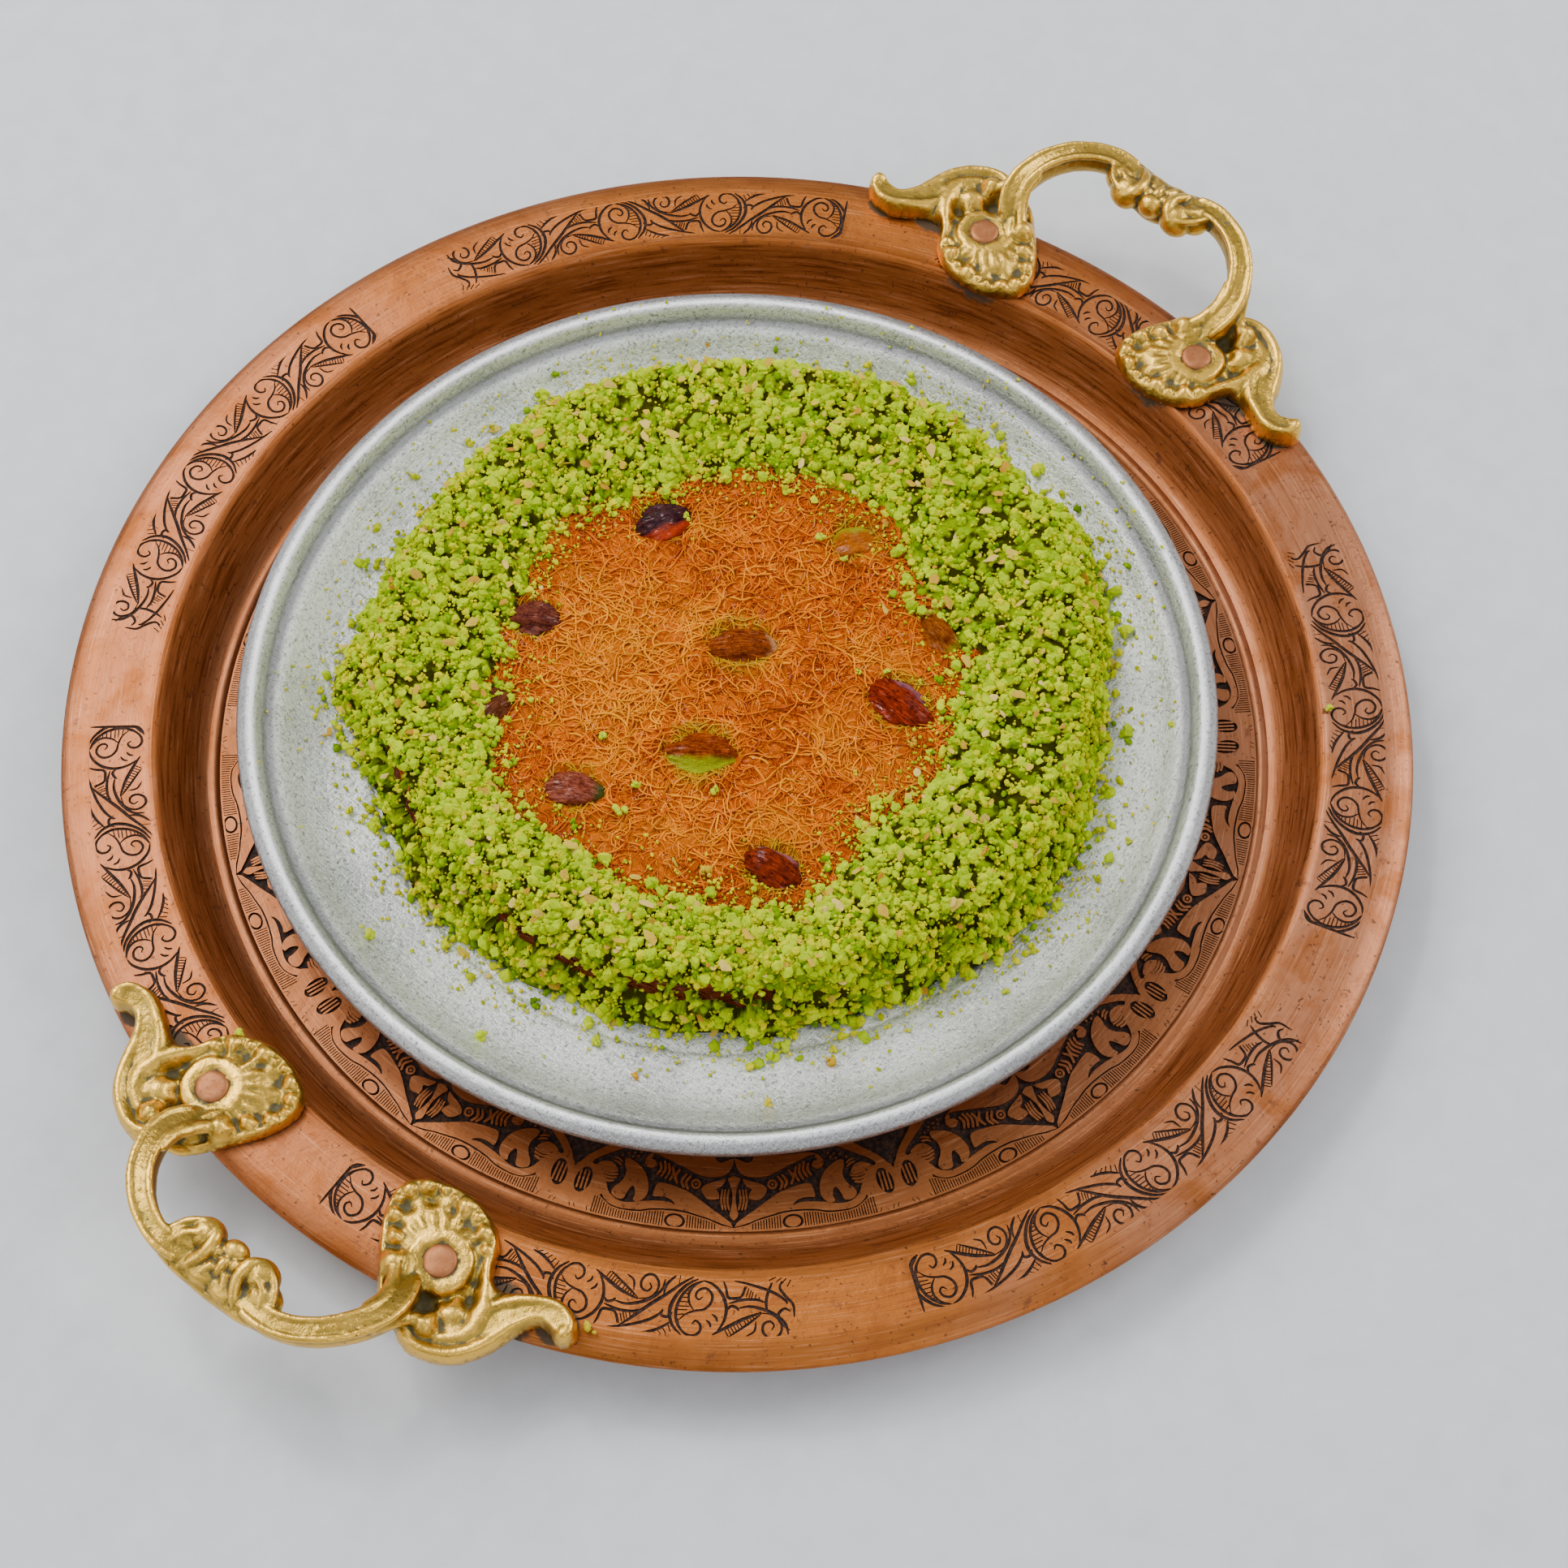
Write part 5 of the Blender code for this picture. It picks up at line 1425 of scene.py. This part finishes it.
def makeHandles(brass):
    h = handle
    forms = [lump(centre, sizes) for centre, sizes in middleBalls]
    for points, faces in sideForms():
        forms.append((points, faces))
        forms.append((points * (1, -1, 1), faces[:, ::-1]))
    points, faces = joinArrays(forms)
    piece = meshPiece("brass_handle_far", (points + (0, 0, h["base"])) * mm, faces, brass)
    remesh = piece.modifiers.new("fuse", "REMESH")
    remesh.mode = "VOXEL"
    remesh.voxel_size = h["voxel"] * mm
    piece.modifiers.new("soften", "SMOOTH").iterations = h["smooth"]
    piece.modifiers.new("thin", "DECIMATE").ratio = h["keep"]
    applyAll(piece)
    points = readPoints(piece.data)
    coarse, fine = h["castScales"]
    casting = uneven(points, coarse) + 0.6 * uneven(points, fine)
    points += readRows(piece.data.vertex_normals, "vector") * (casting * h["cast"] * mm)[:, None]
    rows = points / mm
    for side in (1, -1):  # the seat of each rivet
        away = np.hypot(rows[:, 0] - h["rivet"][0], rows[:, 1] - side * h["rivet"][1])
        top = (rows[:, 2] > h["base"] + 1.5) & (away < h["seatRadius"] + 0.9)
        rise = np.clip((away - h["seatRadius"]) / 0.25, 0, 1) * 0.4
        rise += np.clip(away - h["seatRadius"] - 0.3, 0, 1) * 6
        rows[:, 2] = np.where(top, np.minimum(rows[:, 2], h["base"] + h["seat"] + rise), rows[:, 2])
    rows[:, 2] = np.clip(rows[:, 2], h["base"], h["base"] + h["highest"])
    rows[:, 0] = np.minimum(rows[:, 0], h["furthest"])
    writePoints(piece.data, rows * mm)
    setValue(piece.data, "hollow", hollows(piece.data))
    other = piece.copy()
    other.data = piece.data.copy()
    other.name = other.data.name = "brass_handle_near"
    bpy.context.scene.collection.objects.link(other)
    writePoints(other.data, rows * mm * (-1, -1, 1))
    for made, node in ((piece, "handle_far"), (other, "handle_near")):
        pick(made)
        bpy.ops.object.shade_smooth()
        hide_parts(node)
        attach(made, "root")
    print("handles", len(piece.data.polygons), "faces each")


def hollows(mesh, rounds=12, deepest=0.5):
    # 0 on ridges and 1 in the valleys, from how far each point lies under its surroundings
    points = readPoints(mesh)
    a, b = readRows(mesh.edges, "vertices", 2, np.int32).T
    count = len(points)
    degree = np.bincount(a, minlength=count) + np.bincount(b, minlength=count)
    smooth = points.copy()
    for _ in range(rounds):
        sums = [np.bincount(a, smooth[b, axis], count) + np.bincount(b, smooth[a, axis], count)
                for axis in range(3)]
        smooth = np.stack(sums, 1) / degree[:, None]
    depth = ((smooth - points) * readRows(mesh.vertex_normals, "vector")).sum(1) / mm
    return np.clip(0.5 + depth / deepest, 0, 1)


# finishes: each has its colours in one dictionary, and every pattern is worked out in metres

# where dirt gathers round each handle's foot: x, y, reach in mm
dirtyRings = ((126.3, 24.8, 14.2), (131.6, 41.6, 10.6), (124.8, 52.6, 5.6))

# the side tones after plain are painted reflection, floor is painted shade under the plate, and the wall's
# dark band is painted reflection
copperTones = {
    "plain": (0.41, 0.130, 0.028), "paintedSideReflection": (0.38, 0.135, 0.056), "pale": (0.45, 0.19, 0.105),
    "patch": (0.31, 0.09, 0.02), "wall": (0.46, 0.145, 0.035), "floor": (0.27, 0.105, 0.045),
    "darkLine": (0.24, 0.065, 0.018), "brightLine": (0.78, 0.38, 0.19), "wallReflectionBand": (0.19, 0.045, 0.008),
    "swirl": (0.28, 0.075, 0.02), "stain": (0.17, 0.06, 0.03), "speck": (0.08, 0.035, 0.02),
    "grime": (0.030, 0.034, 0.020),
}


def agedCopper():
    look, tones = Look("agedCopper"), copperTones
    at = look.place()
    x, y = at.part(0), at.part(1)
    radius, angle = look.polar()
    brushed = look.noise(look.vector(radius * 2400, angle * 7, 0.0), 1.0, 4, 0.65)
    swirl = look.noise(look.vector(radius * 420, angle * 5, 0.3), 1.0, 3, 0.6)
    cloud = look.noise(at, 22, 4, 0.6, 0.6)
    patch = look.noise(at, 75, 5, 0.65, 0.4)
    stain = look.noise(at, 260, 4, 0.7)
    speck = look.noise(at, 1000, 3, 0.6)
    dirt = look.noise(at, 420, 4, 0.7)
    # painted reflection: the copper's tone shifts from one side of the tray to the other, with a paler tone
    # at one end, broken up by cloud
    side = x * -3.5 + y * 4.8 + cloud * 0.9 - 0.45
    wall = radius.rise(0.1125, 0.1145) * radius.rise(0.1220, 0.1204)
    ring = None
    for signX, signY in ((1, 1), (1, -1), (-1, 1), (-1, -1)):
        for footX, footY, reach in dirtyRings:
            spot = look.near((signX * footX * mm, signY * footY * mm, 14.5 * mm), reach * mm)
            ring = look.sum("MAXIMUM", ring, spot) if ring else spot
    grime = (ring * 2.4 + dirt - 0.76).rise(0.0, 0.3)
    tone = look.layers(
        look.mix(side.rise(0.12, 0.72), tones["plain"], tones["paintedSideReflection"]),
        (side.rise(-0.2, -0.7) * 0.8, tones["pale"]),
        (patch.rise(0.46, 0.68) * 0.8, tones["patch"]),
        (wall * 0.7, tones["wall"]),
        # painted shade: the tray's floor, low under the plate, is darkened
        (at.part(2).rise(0.006, 0.002) * 0.55, tones["floor"]),
        (brushed.rise(0.48, 0.30) * 0.6, tones["darkLine"]),
        (brushed.rise(0.54, 0.72) * 0.45, tones["brightLine"]),
        # painted reflection: dark bands streak the wall
        (wall * brushed.rise(0.52, 0.36) * 0.6, tones["wallReflectionBand"]),
        (swirl.rise(0.60, 0.72) * 0.35, tones["swirl"]),
        (stain.rise(0.60, 0.72) * 0.7, tones["stain"]),
        (speck.rise(0.62, 0.70) * 0.75, tones["speck"]),
        (grime * 0.85, tones["grime"]))
    rough = 0.30 + brushed * 0.2 + patch * 0.12 + wall * 0.14 + grime * 0.3
    return look.finish(tone, rough, [(brushed, 0.4, 0.0001), (speck, 0.3, 0.0001), (patch, 0.4, 0.0006)],
                       metallic=1.0 - grime * 0.85)


rivetTones = {"dark": (0.37, 0.135, 0.050), "light": (0.46, 0.190, 0.080), "nick": (0.20, 0.07, 0.035)}


def rivetCopper():
    look, tones = Look("rivetCopper"), rivetTones
    at = look.place()
    cloud = look.noise(at, 420, 4, 0.65)
    nick = look.noise(at, 1500, 3, 0.6)
    tone = look.mix(cloud.rise(0.35, 0.7), tones["dark"], tones["light"])
    tone = look.mix(nick.rise(0.60, 0.72) * 0.7, tone, tones["nick"])
    return look.finish(tone, 0.46 + nick * 0.14, [(nick, 0.35, 0.0001), (cloud, 0.3, 0.0003)], metallic=0.9)


grooveTones = {"black": (0.012, 0.008, 0.007), "brown": (0.07, 0.03, 0.018)}


def blackenedGroove():
    look = Look("blackenedGroove", Metallic=0.2, Specular_IOR_Level=0.2)
    grain = look.noise(look.place(), 1400, 2)
    tone = look.mix(grain.rise(0.35, 0.75), grooveTones["black"], grooveTones["brown"])
    return look.finish(tone, 0.62 + grain * 0.2, [(grain, 0.5, 0.0001)])


# the wedge tones are painted reflection, the white tones are painted glints and a painted highlight, and the
# darkest grey is painted shade on the lip
aluminiumTones = {
    "dim": (0.78, 0.785, 0.80), "clear": (0.94, 0.945, 0.96), "darkWedgeReflection": (0.40, 0.41, 0.43),
    "brightWedgeReflection": (0.98, 0.98, 1.0), "dull": (0.50, 0.50, 0.49), "pit": (0.22, 0.22, 0.23),
    "scratchGlint": (1.0, 1.0, 1.0), "paintedLipShade": (0.15, 0.15, 0.15), "ridge": (1.0, 1.0, 1.0),
}


def wornAluminium():
    look, tones = Look("wornAluminium"), aluminiumTones
    at = look.place()
    x, y = at.part(0) - plate["centre"][0] * mm, at.part(1) - plate["centre"][1] * mm
    radius = look.sum("SQRT", x * x + y * y)
    grit = look.noise(at, 1150, 4, 0.8)
    glintFleck = look.noise(at, 2100, 2, 0.6)
    scratchGlint = look.noise(look.stretch(at, (2200, 300, 900)), 1.0, 3, 0.65)
    crossing = look.noise(look.stretch(at, (260, 2100, 900)), 1.0, 3, 0.65)
    # painted reflection: light and dark wedges fan round the plate's middle, as on spun metal
    reflectionWedge = look.noise(look.vector(x / radius * 2.6, y / radius * 2.6, 0.0), 1.0, 3, 0.7)
    cloud = look.noise(at, 38, 4, 0.6)
    dull = look.noise(at, 150, 5, 0.65)
    lines = look.sum("MAXIMUM", scratchGlint.rise(0.56, 0.66), crossing.rise(0.56, 0.66))
    lip = radius.rise(0.0990, 0.1000)
    channel = radius.rise(0.0938, 0.0952) * radius.rise(0.0972, 0.0962)
    tone = look.layers(
        look.mix(cloud.rise(0.3, 0.7), tones["dim"], tones["clear"]),
        (reflectionWedge.rise(0.54, 0.38) * 0.4, tones["darkWedgeReflection"]),
        (reflectionWedge.rise(0.54, 0.68) * 0.5, tones["brightWedgeReflection"]),
        (dull.rise(0.5, 0.72) * 0.5, tones["dull"]),
        (grit.rise(0.49, 0.38) * 0.85, tones["pit"]),
        # painted glints: white on the scratches and the flecks
        (look.sum("MAXIMUM", lines * 0.9, glintFleck.rise(0.55, 0.66)), tones["scratchGlint"]),
        # painted shade: the lip and the channel inside it are darkened
        (look.sum("MAXIMUM", lip * 0.7, channel * 0.8), tones["paintedLipShade"]),
        # painted highlight: a thin white line round the ridge inside the lip
        ((radius - 0.0984).power(2.0).rise(4e-7, 0.0), tones["ridge"]))
    bumps = [(grit, 1.0, 0.0003), (scratchGlint, 0.6, 0.0002), (crossing, 0.6, 0.0002), (dull, 0.5, 0.0006)]
    return look.finish(tone, 0.18 + grit * 0.18 + dull * 0.1, bumps,
                       metallic=0.70 + glintFleck.rise(0.52, 0.62) * 0.28)


crustTones = {
    "dark": (0.25, 0.032, 0.0), "light": (0.60, 0.125, 0.0), "golden": (0.50, 0.15, 0.0),
    "darkerLow": (0.075, 0.014, 0.005),
}


def bakedCrust():
    look, tones = Look("bakedCrust", Coat_Roughness=0.1, Specular_IOR_Level=0.04), crustTones
    at = look.place()
    thread = look.noise(at, 520, 4, 0.65, 1.6)
    cloud = look.noise(at, 60, 3, 0.6)
    glint = look.noise(at, 900, 3, 0.7)
    tone = look.layers(
        look.mix(thread.rise(0.35, 0.65), tones["dark"], tones["light"]),
        (cloud.rise(0.45, 0.65) * 0.4, tones["golden"]),
        # darker towards the bottom of the side
        (at.part(2).rise(0.0178, 0.0145) * 0.9, tones["darkerLow"]))
    return look.finish(tone, 0.36 + thread * 0.2, [(thread, 0.8, 0.0005)], coat=glint.rise(0.58, 0.68) * 0.6)


threadTones = {
    "dark": ((0.0, (0.30, 0.035, 0.0)), (0.55, (0.62, 0.11, 0.0)), (1.0, (0.82, 0.21, 0.0))),
    "light": ((0.0, (0.64, 0.135, 0.0)), (0.55, (0.86, 0.235, 0.0)), (1.0, (0.94, 0.35, 0.0))),
    "golden": (0.80, 0.285, 0.0), "brown": (0.40, 0.06, 0.0), "rim": (0.36, 0.045, 0.0),
    "sunny": (0.92, 0.36, 0.0), "soaked": (0.46, 0.29, 0.0), "darkerLow": (0.09, 0.016, 0.005),
}
# where the disc is lightest, and where it is sunniest: middle and reach in mm
lightZone = ((0.8, 4.3, 19), 62)
sunnyZone = ((-8, 24, 19), 34)
soakedKernels = 8  # the nuts of the list that shine green through the threads


def syrupThread(name, kind):
    look, tones = Look(name, Coat_Roughness=0.06, Specular_IOR_Level=0.05), threadTones
    shade = look.attribute("shade")
    at = look.place()
    cloud = look.noise(at, 70, 3, 0.6)
    patch = look.noise(at, 300, 3, 0.6)
    glint = look.noise(at, 700, 3, 0.7)
    middle, sunny = [look.near(Vector(point) * mm, reach * mm) for point, reach in (lightZone, sunnyZone)]
    soaked = None
    for kx, ky, length, _, _, _ in kernels[:soakedKernels]:
        spot = look.near((kx * mm, ky * mm, 19.5 * mm), length * 0.66 * mm)
        soaked = look.sum("MAXIMUM", soaked, spot) if soaked else spot
    tone = look.layers(
        look.ramp(shade, *tones[kind]),
        (cloud.rise(0.46, 0.62) * 0.6, tones["golden"]),
        (cloud.rise(0.47, 0.32) * 0.5, tones["brown"]),
        ((0.34 - middle + (cloud - 0.5) * 0.7).rise(-0.05, 0.35) * 0.65, tones["rim"]),
        ((sunny + (cloud - 0.5) * 0.8).rise(0.2, 0.8) * 0.4, tones["sunny"]),
        ((soaked * 1.6 + patch - 0.75).rise(0.0, 0.6) * 0.7, tones["soaked"]),
        # darker towards the bottom of the side
        (at.part(2).rise(0.0174, 0.0145) * 0.9, tones["darkerLow"]))
    return look.finish(tone, 0.30 + shade * 0.15, coat=glint.rise(0.55, 0.62) * 1.0)


# a nut's skin: dark, light, the other colour, and on which side that shows (along, across, from where)
kernelTones = (
    ((0.09, 0.010, 0.0), (0.36, 0.070, 0.004), (0.58, 0.30, 0.13), (1.0, 0.0, 0.6)),
    ((0.09, 0.008, 0.0), (0.36, 0.060, 0.0), (0.30, 0.35, 0.0), (0.0, -1.0, 0.25)),
    ((0.014, 0.005, 0.010), (0.08, 0.018, 0.020), (0.40, 0.028, 0.0), (0.2, -1.0, 0.45)),
    ((0.05, 0.008, 0.008), (0.22, 0.050, 0.024), (0.24, 0.15, 0.0), (-1.0, 0.0, 0.7)),
    ((0.09, 0.008, 0.002), (0.38, 0.095, 0.050), (0.04, 0.08, 0.01), (1.0, 0.0, 0.6)),
    ((0.05, 0.004, 0.001), (0.30, 0.028, 0.003), (0.26, 0.10, 0.10), (0.0, 1.0, 0.55)),
    ((0.06, 0.003, 0.0), (0.36, 0.026, 0.0), (0.22, 0.08, 0.11), (0.3, 1.0, 0.6)),
    ((0.30, 0.06, 0.0), (0.48, 0.13, 0.0), (0.30, 0.26, 0.0), (0.0, 1.0, 0.3)),
    ((0.06, 0.010, 0.003), (0.20, 0.055, 0.016), (0.16, 0.12, 0.0), (-1.0, 0.0, 0.6)),
    ((0.15, 0.022, 0.0), (0.36, 0.10, 0.006), (0.30, 0.30, 0.0), (1.0, 0.0, 0.6)),
)


def kernelSkin(index):
    dark, light, other, (alongPart, acrossPart, begins) = kernelTones[index]
    look = Look("kernelSkin%02d" % (index + 1), Coat_Roughness=0.05, Specular_IOR_Level=0.06)
    at = look.place()
    along, across = look.attribute("along"), look.attribute("side")
    vein = look.noise(look.vector(along * 2.6, across * 11, 0.0), 1.0, 4, 0.7, 0.7)
    grain = look.noise(at, 900, 4, 0.65, 0.8)
    cloud = look.noise(at, 170, 3, 0.6)
    tone = look.mix((vein * 0.6 + grain * 0.4).rise(0.38, 0.62), dark, light)
    where = (along * alongPart + across * acrossPart + cloud * 0.8 - 0.4 - begins).rise(-0.08, 0.25)
    tone = look.mix(where * 0.92, tone, other)
    gloss = (vein * 0.5 + cloud * 0.5).rise(0.50, 0.60)
    return look.finish(tone, 0.30 + grain * 0.2, [(vein, 0.8, 0.0009), (grain, 0.5, 0.0003)],
                       coat=gloss * 0.6)


mealTones = {  # low, middle and high shade of each kind of ground pistachio
    # the meal under the grains is kept dark, as painted shade between them
    "meal": ((0.07, 0.13, 0.0), (0.28, 0.42, 0.0), (0.54, 0.62, 0.0)),
    "bright": ((0.28, 0.42, 0.0), (0.50, 0.65, 0.0), (0.68, 0.74, 0.0)),
    "deep": ((0.07, 0.16, 0.0), (0.24, 0.41, 0.0), (0.46, 0.58, 0.0)),
    "fine": ((0.32, 0.36, 0.0), (0.58, 0.62, 0.0), (0.84, 0.68, 0.0)),
    "flake": ((0.44, 0.17, 0.01), (0.64, 0.46, 0.05), (0.80, 0.60, 0.18)),
    "loose": ((0.48, 0.70, 0.0), (0.66, 0.60, 0.03), (0.66, 0.29, 0.02)),
}
paintedCreviceShade = (0.03, 0.022, 0.0)


def pistachioMeal(name, kind):
    low, middle, high = mealTones[kind]
    look = Look(name, Specular_IOR_Level=0.0)
    at = look.place()
    grain = look.noise(at, 1500, 4, 0.7)
    cloud = look.noise(at, 110, 3, 0.6)
    shade = look.attribute("shade") * 0.66 + cloud * 0.5 - 0.08
    tone = look.layers(
        look.ramp(shade, (0.1, low), (0.5, middle), (0.9, high)),
        (grain.rise(0.55, 0.75) * 0.3, high),
        (grain.rise(0.45, 0.28) * 0.5, low))
    # painted shade: the heap's crevices, and its unseen faces, go nearly black
    if kind == "meal":
        deep = (look.attribute("hollow") + (grain - 0.5) * 0.5).rise(0.30, 0.70)
        tone = look.mix(deep * 0.95, tone, paintedCreviceShade)
    return look.finish(tone, 0.8, [(grain, 0.9, 0.0004)])


brassTones = {
    "dark": (0.46, 0.280, 0.042), "light": (0.58, 0.355, 0.062), "mottle": (0.34, 0.20, 0.014),
    "ridge": (0.84, 0.50, 0.075), "valley": (0.25, 0.185, 0.030), "grime": (0.055, 0.050, 0.022),
    "speck": (0.10, 0.06, 0.012),
}


def agedBrass():
    look, tones = Look("agedBrass"), brassTones
    at = look.place()
    hollow = look.attribute("hollow")
    cloud = look.noise(at, 130, 4, 0.6)
    mottle = look.noise(at, 480, 4, 0.7)
    speck = look.noise(at, 1150, 3, 0.65)
    grime = (hollow + (speck - 0.5) * 0.5 + (cloud - 0.5) * 0.8).rise(0.72, 0.95)
    tone = look.layers(
        look.mix(cloud.rise(0.35, 0.65), tones["dark"], tones["light"]),
        (mottle.rise(0.52, 0.68) * 0.45, tones["mottle"]),
        # ridges are lighter: rubbed bright metal, and also a painted highlight
        (hollow.rise(0.44, 0.20), tones["ridge"]),
        ((hollow + (mottle - 0.5) * 0.5).rise(0.58, 0.80) * 0.6, tones["valley"]),
        (grime * 0.9, tones["grime"]),
        (speck.rise(0.62, 0.70) * 0.8, tones["speck"]))
    rough = 0.25 + mottle * 0.16 + grime * 0.3
    return look.finish(tone, rough, [(speck, 0.6, 0.0002), (mottle, 0.4, 0.0004)],
                       metallic=1.0 - grime * 0.75)


# floor, light and camera

# the camera, with its angles in degrees
view = {
    "turn": -53.9, "height": 62.979, "roll": 0.961, "distance": 562.22 * mm, "lens": 63.08, "sensor": 36,
    "target": Vector((-9.21, -18.68, 14.5)) * mm, "nearest": 0.01,
}

stage = {
    "floorSize": 6, "floorHeight": -0.0004,
    "floorTones": ((0.3, (0.62, 0.63, 0.65)), (0.7, (0.68, 0.69, 0.71))),
    "horizon": (0.28, 0.27, 0.26, 1), "overhead": (0.86, 0.90, 0.96, 1), "overheadFrom": 0.85,
    "skyStrength": 0.84,
}

# name, place, size, power and colour
lamps = (
    ("overhead", (0.05, 0.9, 1.05), 0.9, 15, (1.0, 0.985, 0.96)),
    ("left", (-0.9, 0.6, 0.6), 0.7, 3.5, (0.96, 0.98, 1.0)),
    ("glint", (0.25, 0.75, 1.15), 0.12, 2.5, (1.0, 1.0, 1.0)),
    ("front", (-0.5, -0.9, 0.8), 0.7, 2.5, (1.0, 0.99, 0.97)),
    ("right", (0.95, -0.62, 0.80), 0.6, 9, (1.0, 1.0, 1.0)),
)


def makeFloor():
    bpy.ops.mesh.primitive_plane_add(size=stage["floorSize"], location=(0, 0, stage["floorHeight"]))
    floor = bpy.context.object
    floor.name = "studio_floor"
    look = Look("paleFloor")
    grain = look.noise(look.place(), 120, 4, 0.6)
    tone = look.ramp(grain, *stage["floorTones"])
    floor.data.materials.append(look.finish(tone, 0.75, [(grain, 0.1, 0.0005)]))
    print("floor")


def makeSky():
    sky = bpy.data.worlds.new("softSky")  # pale overhead, dimmer towards the horizon
    sky.use_nodes = True
    nodes, links = sky.node_tree.nodes, sky.node_tree.links
    height = nodes.new("ShaderNodeSeparateXYZ")
    ramp = nodes.new("ShaderNodeValToRGB")
    links.new(nodes.new("ShaderNodeTexCoord").outputs["Generated"], height.inputs[0])
    links.new(height.outputs[2], ramp.inputs[0])
    links.new(ramp.outputs[0], nodes["Background"].inputs["Color"])
    low, high = ramp.color_ramp.elements
    low.color = stage["horizon"]
    high.position = stage["overheadFrom"]
    high.color = stage["overhead"]
    nodes["Background"].inputs["Strength"].default_value = stage["skyStrength"]
    bpy.context.scene.world = sky
    print("sky")


def makeLamps():
    for name, where, size, power, colour in lamps:
        bpy.ops.object.light_add(type="AREA", location=where)
        lamp = bpy.context.object
        lamp.name = name
        lamp.data.size = size
        lamp.data.energy = power
        lamp.data.color = colour
        lamp.rotation_euler = (-Vector(where)).to_track_quat("-Z", "Y").to_euler()
    print("lamps", len(lamps))


def makeCamera():
    turn, height, roll = [math.radians(view[key]) for key in ("turn", "height", "roll")]
    back = Vector((math.sin(turn) * math.cos(height), -math.cos(turn) * math.cos(height), math.sin(height)))
    right = Vector((math.cos(turn), math.sin(turn), 0))
    up = back.cross(right)
    rolledRight = math.cos(roll) * right + math.sin(roll) * up
    rolledUp = -math.sin(roll) * right + math.cos(roll) * up
    bpy.ops.object.camera_add()
    camera = bpy.context.object
    camera.data.lens = view["lens"]
    camera.data.sensor_width = view["sensor"]
    camera.data.clip_start = view["nearest"]
    camera.matrix_world = Matrix.Translation(view["target"] + back * view["distance"]) @ Matrix(
        (rolledRight, rolledUp, back)).transposed().to_4x4()
    bpy.context.scene.camera = camera
    print("camera")


makeFloor()
makeSky()
makeLamps()
makeCamera()
makeTray(agedCopper(), blackenedGroove())
makePlate(wornAluminium())
makePastry(bakedCrust(), syrupThread("lightThread", "light"), syrupThread("darkThread", "dark"))
makeKernels([kernelSkin(index) for index in range(len(kernels))])
makeHeap(pistachioMeal("pistachioMeal", "meal"))
kinds = ("bright", "deep", "fine", "flake", "loose")
makeGrains({kind: pistachioMeal("pistachio" + kind.title(), kind) for kind in kinds})
makeRivets(rivetCopper())
makeHandles(agedBrass())
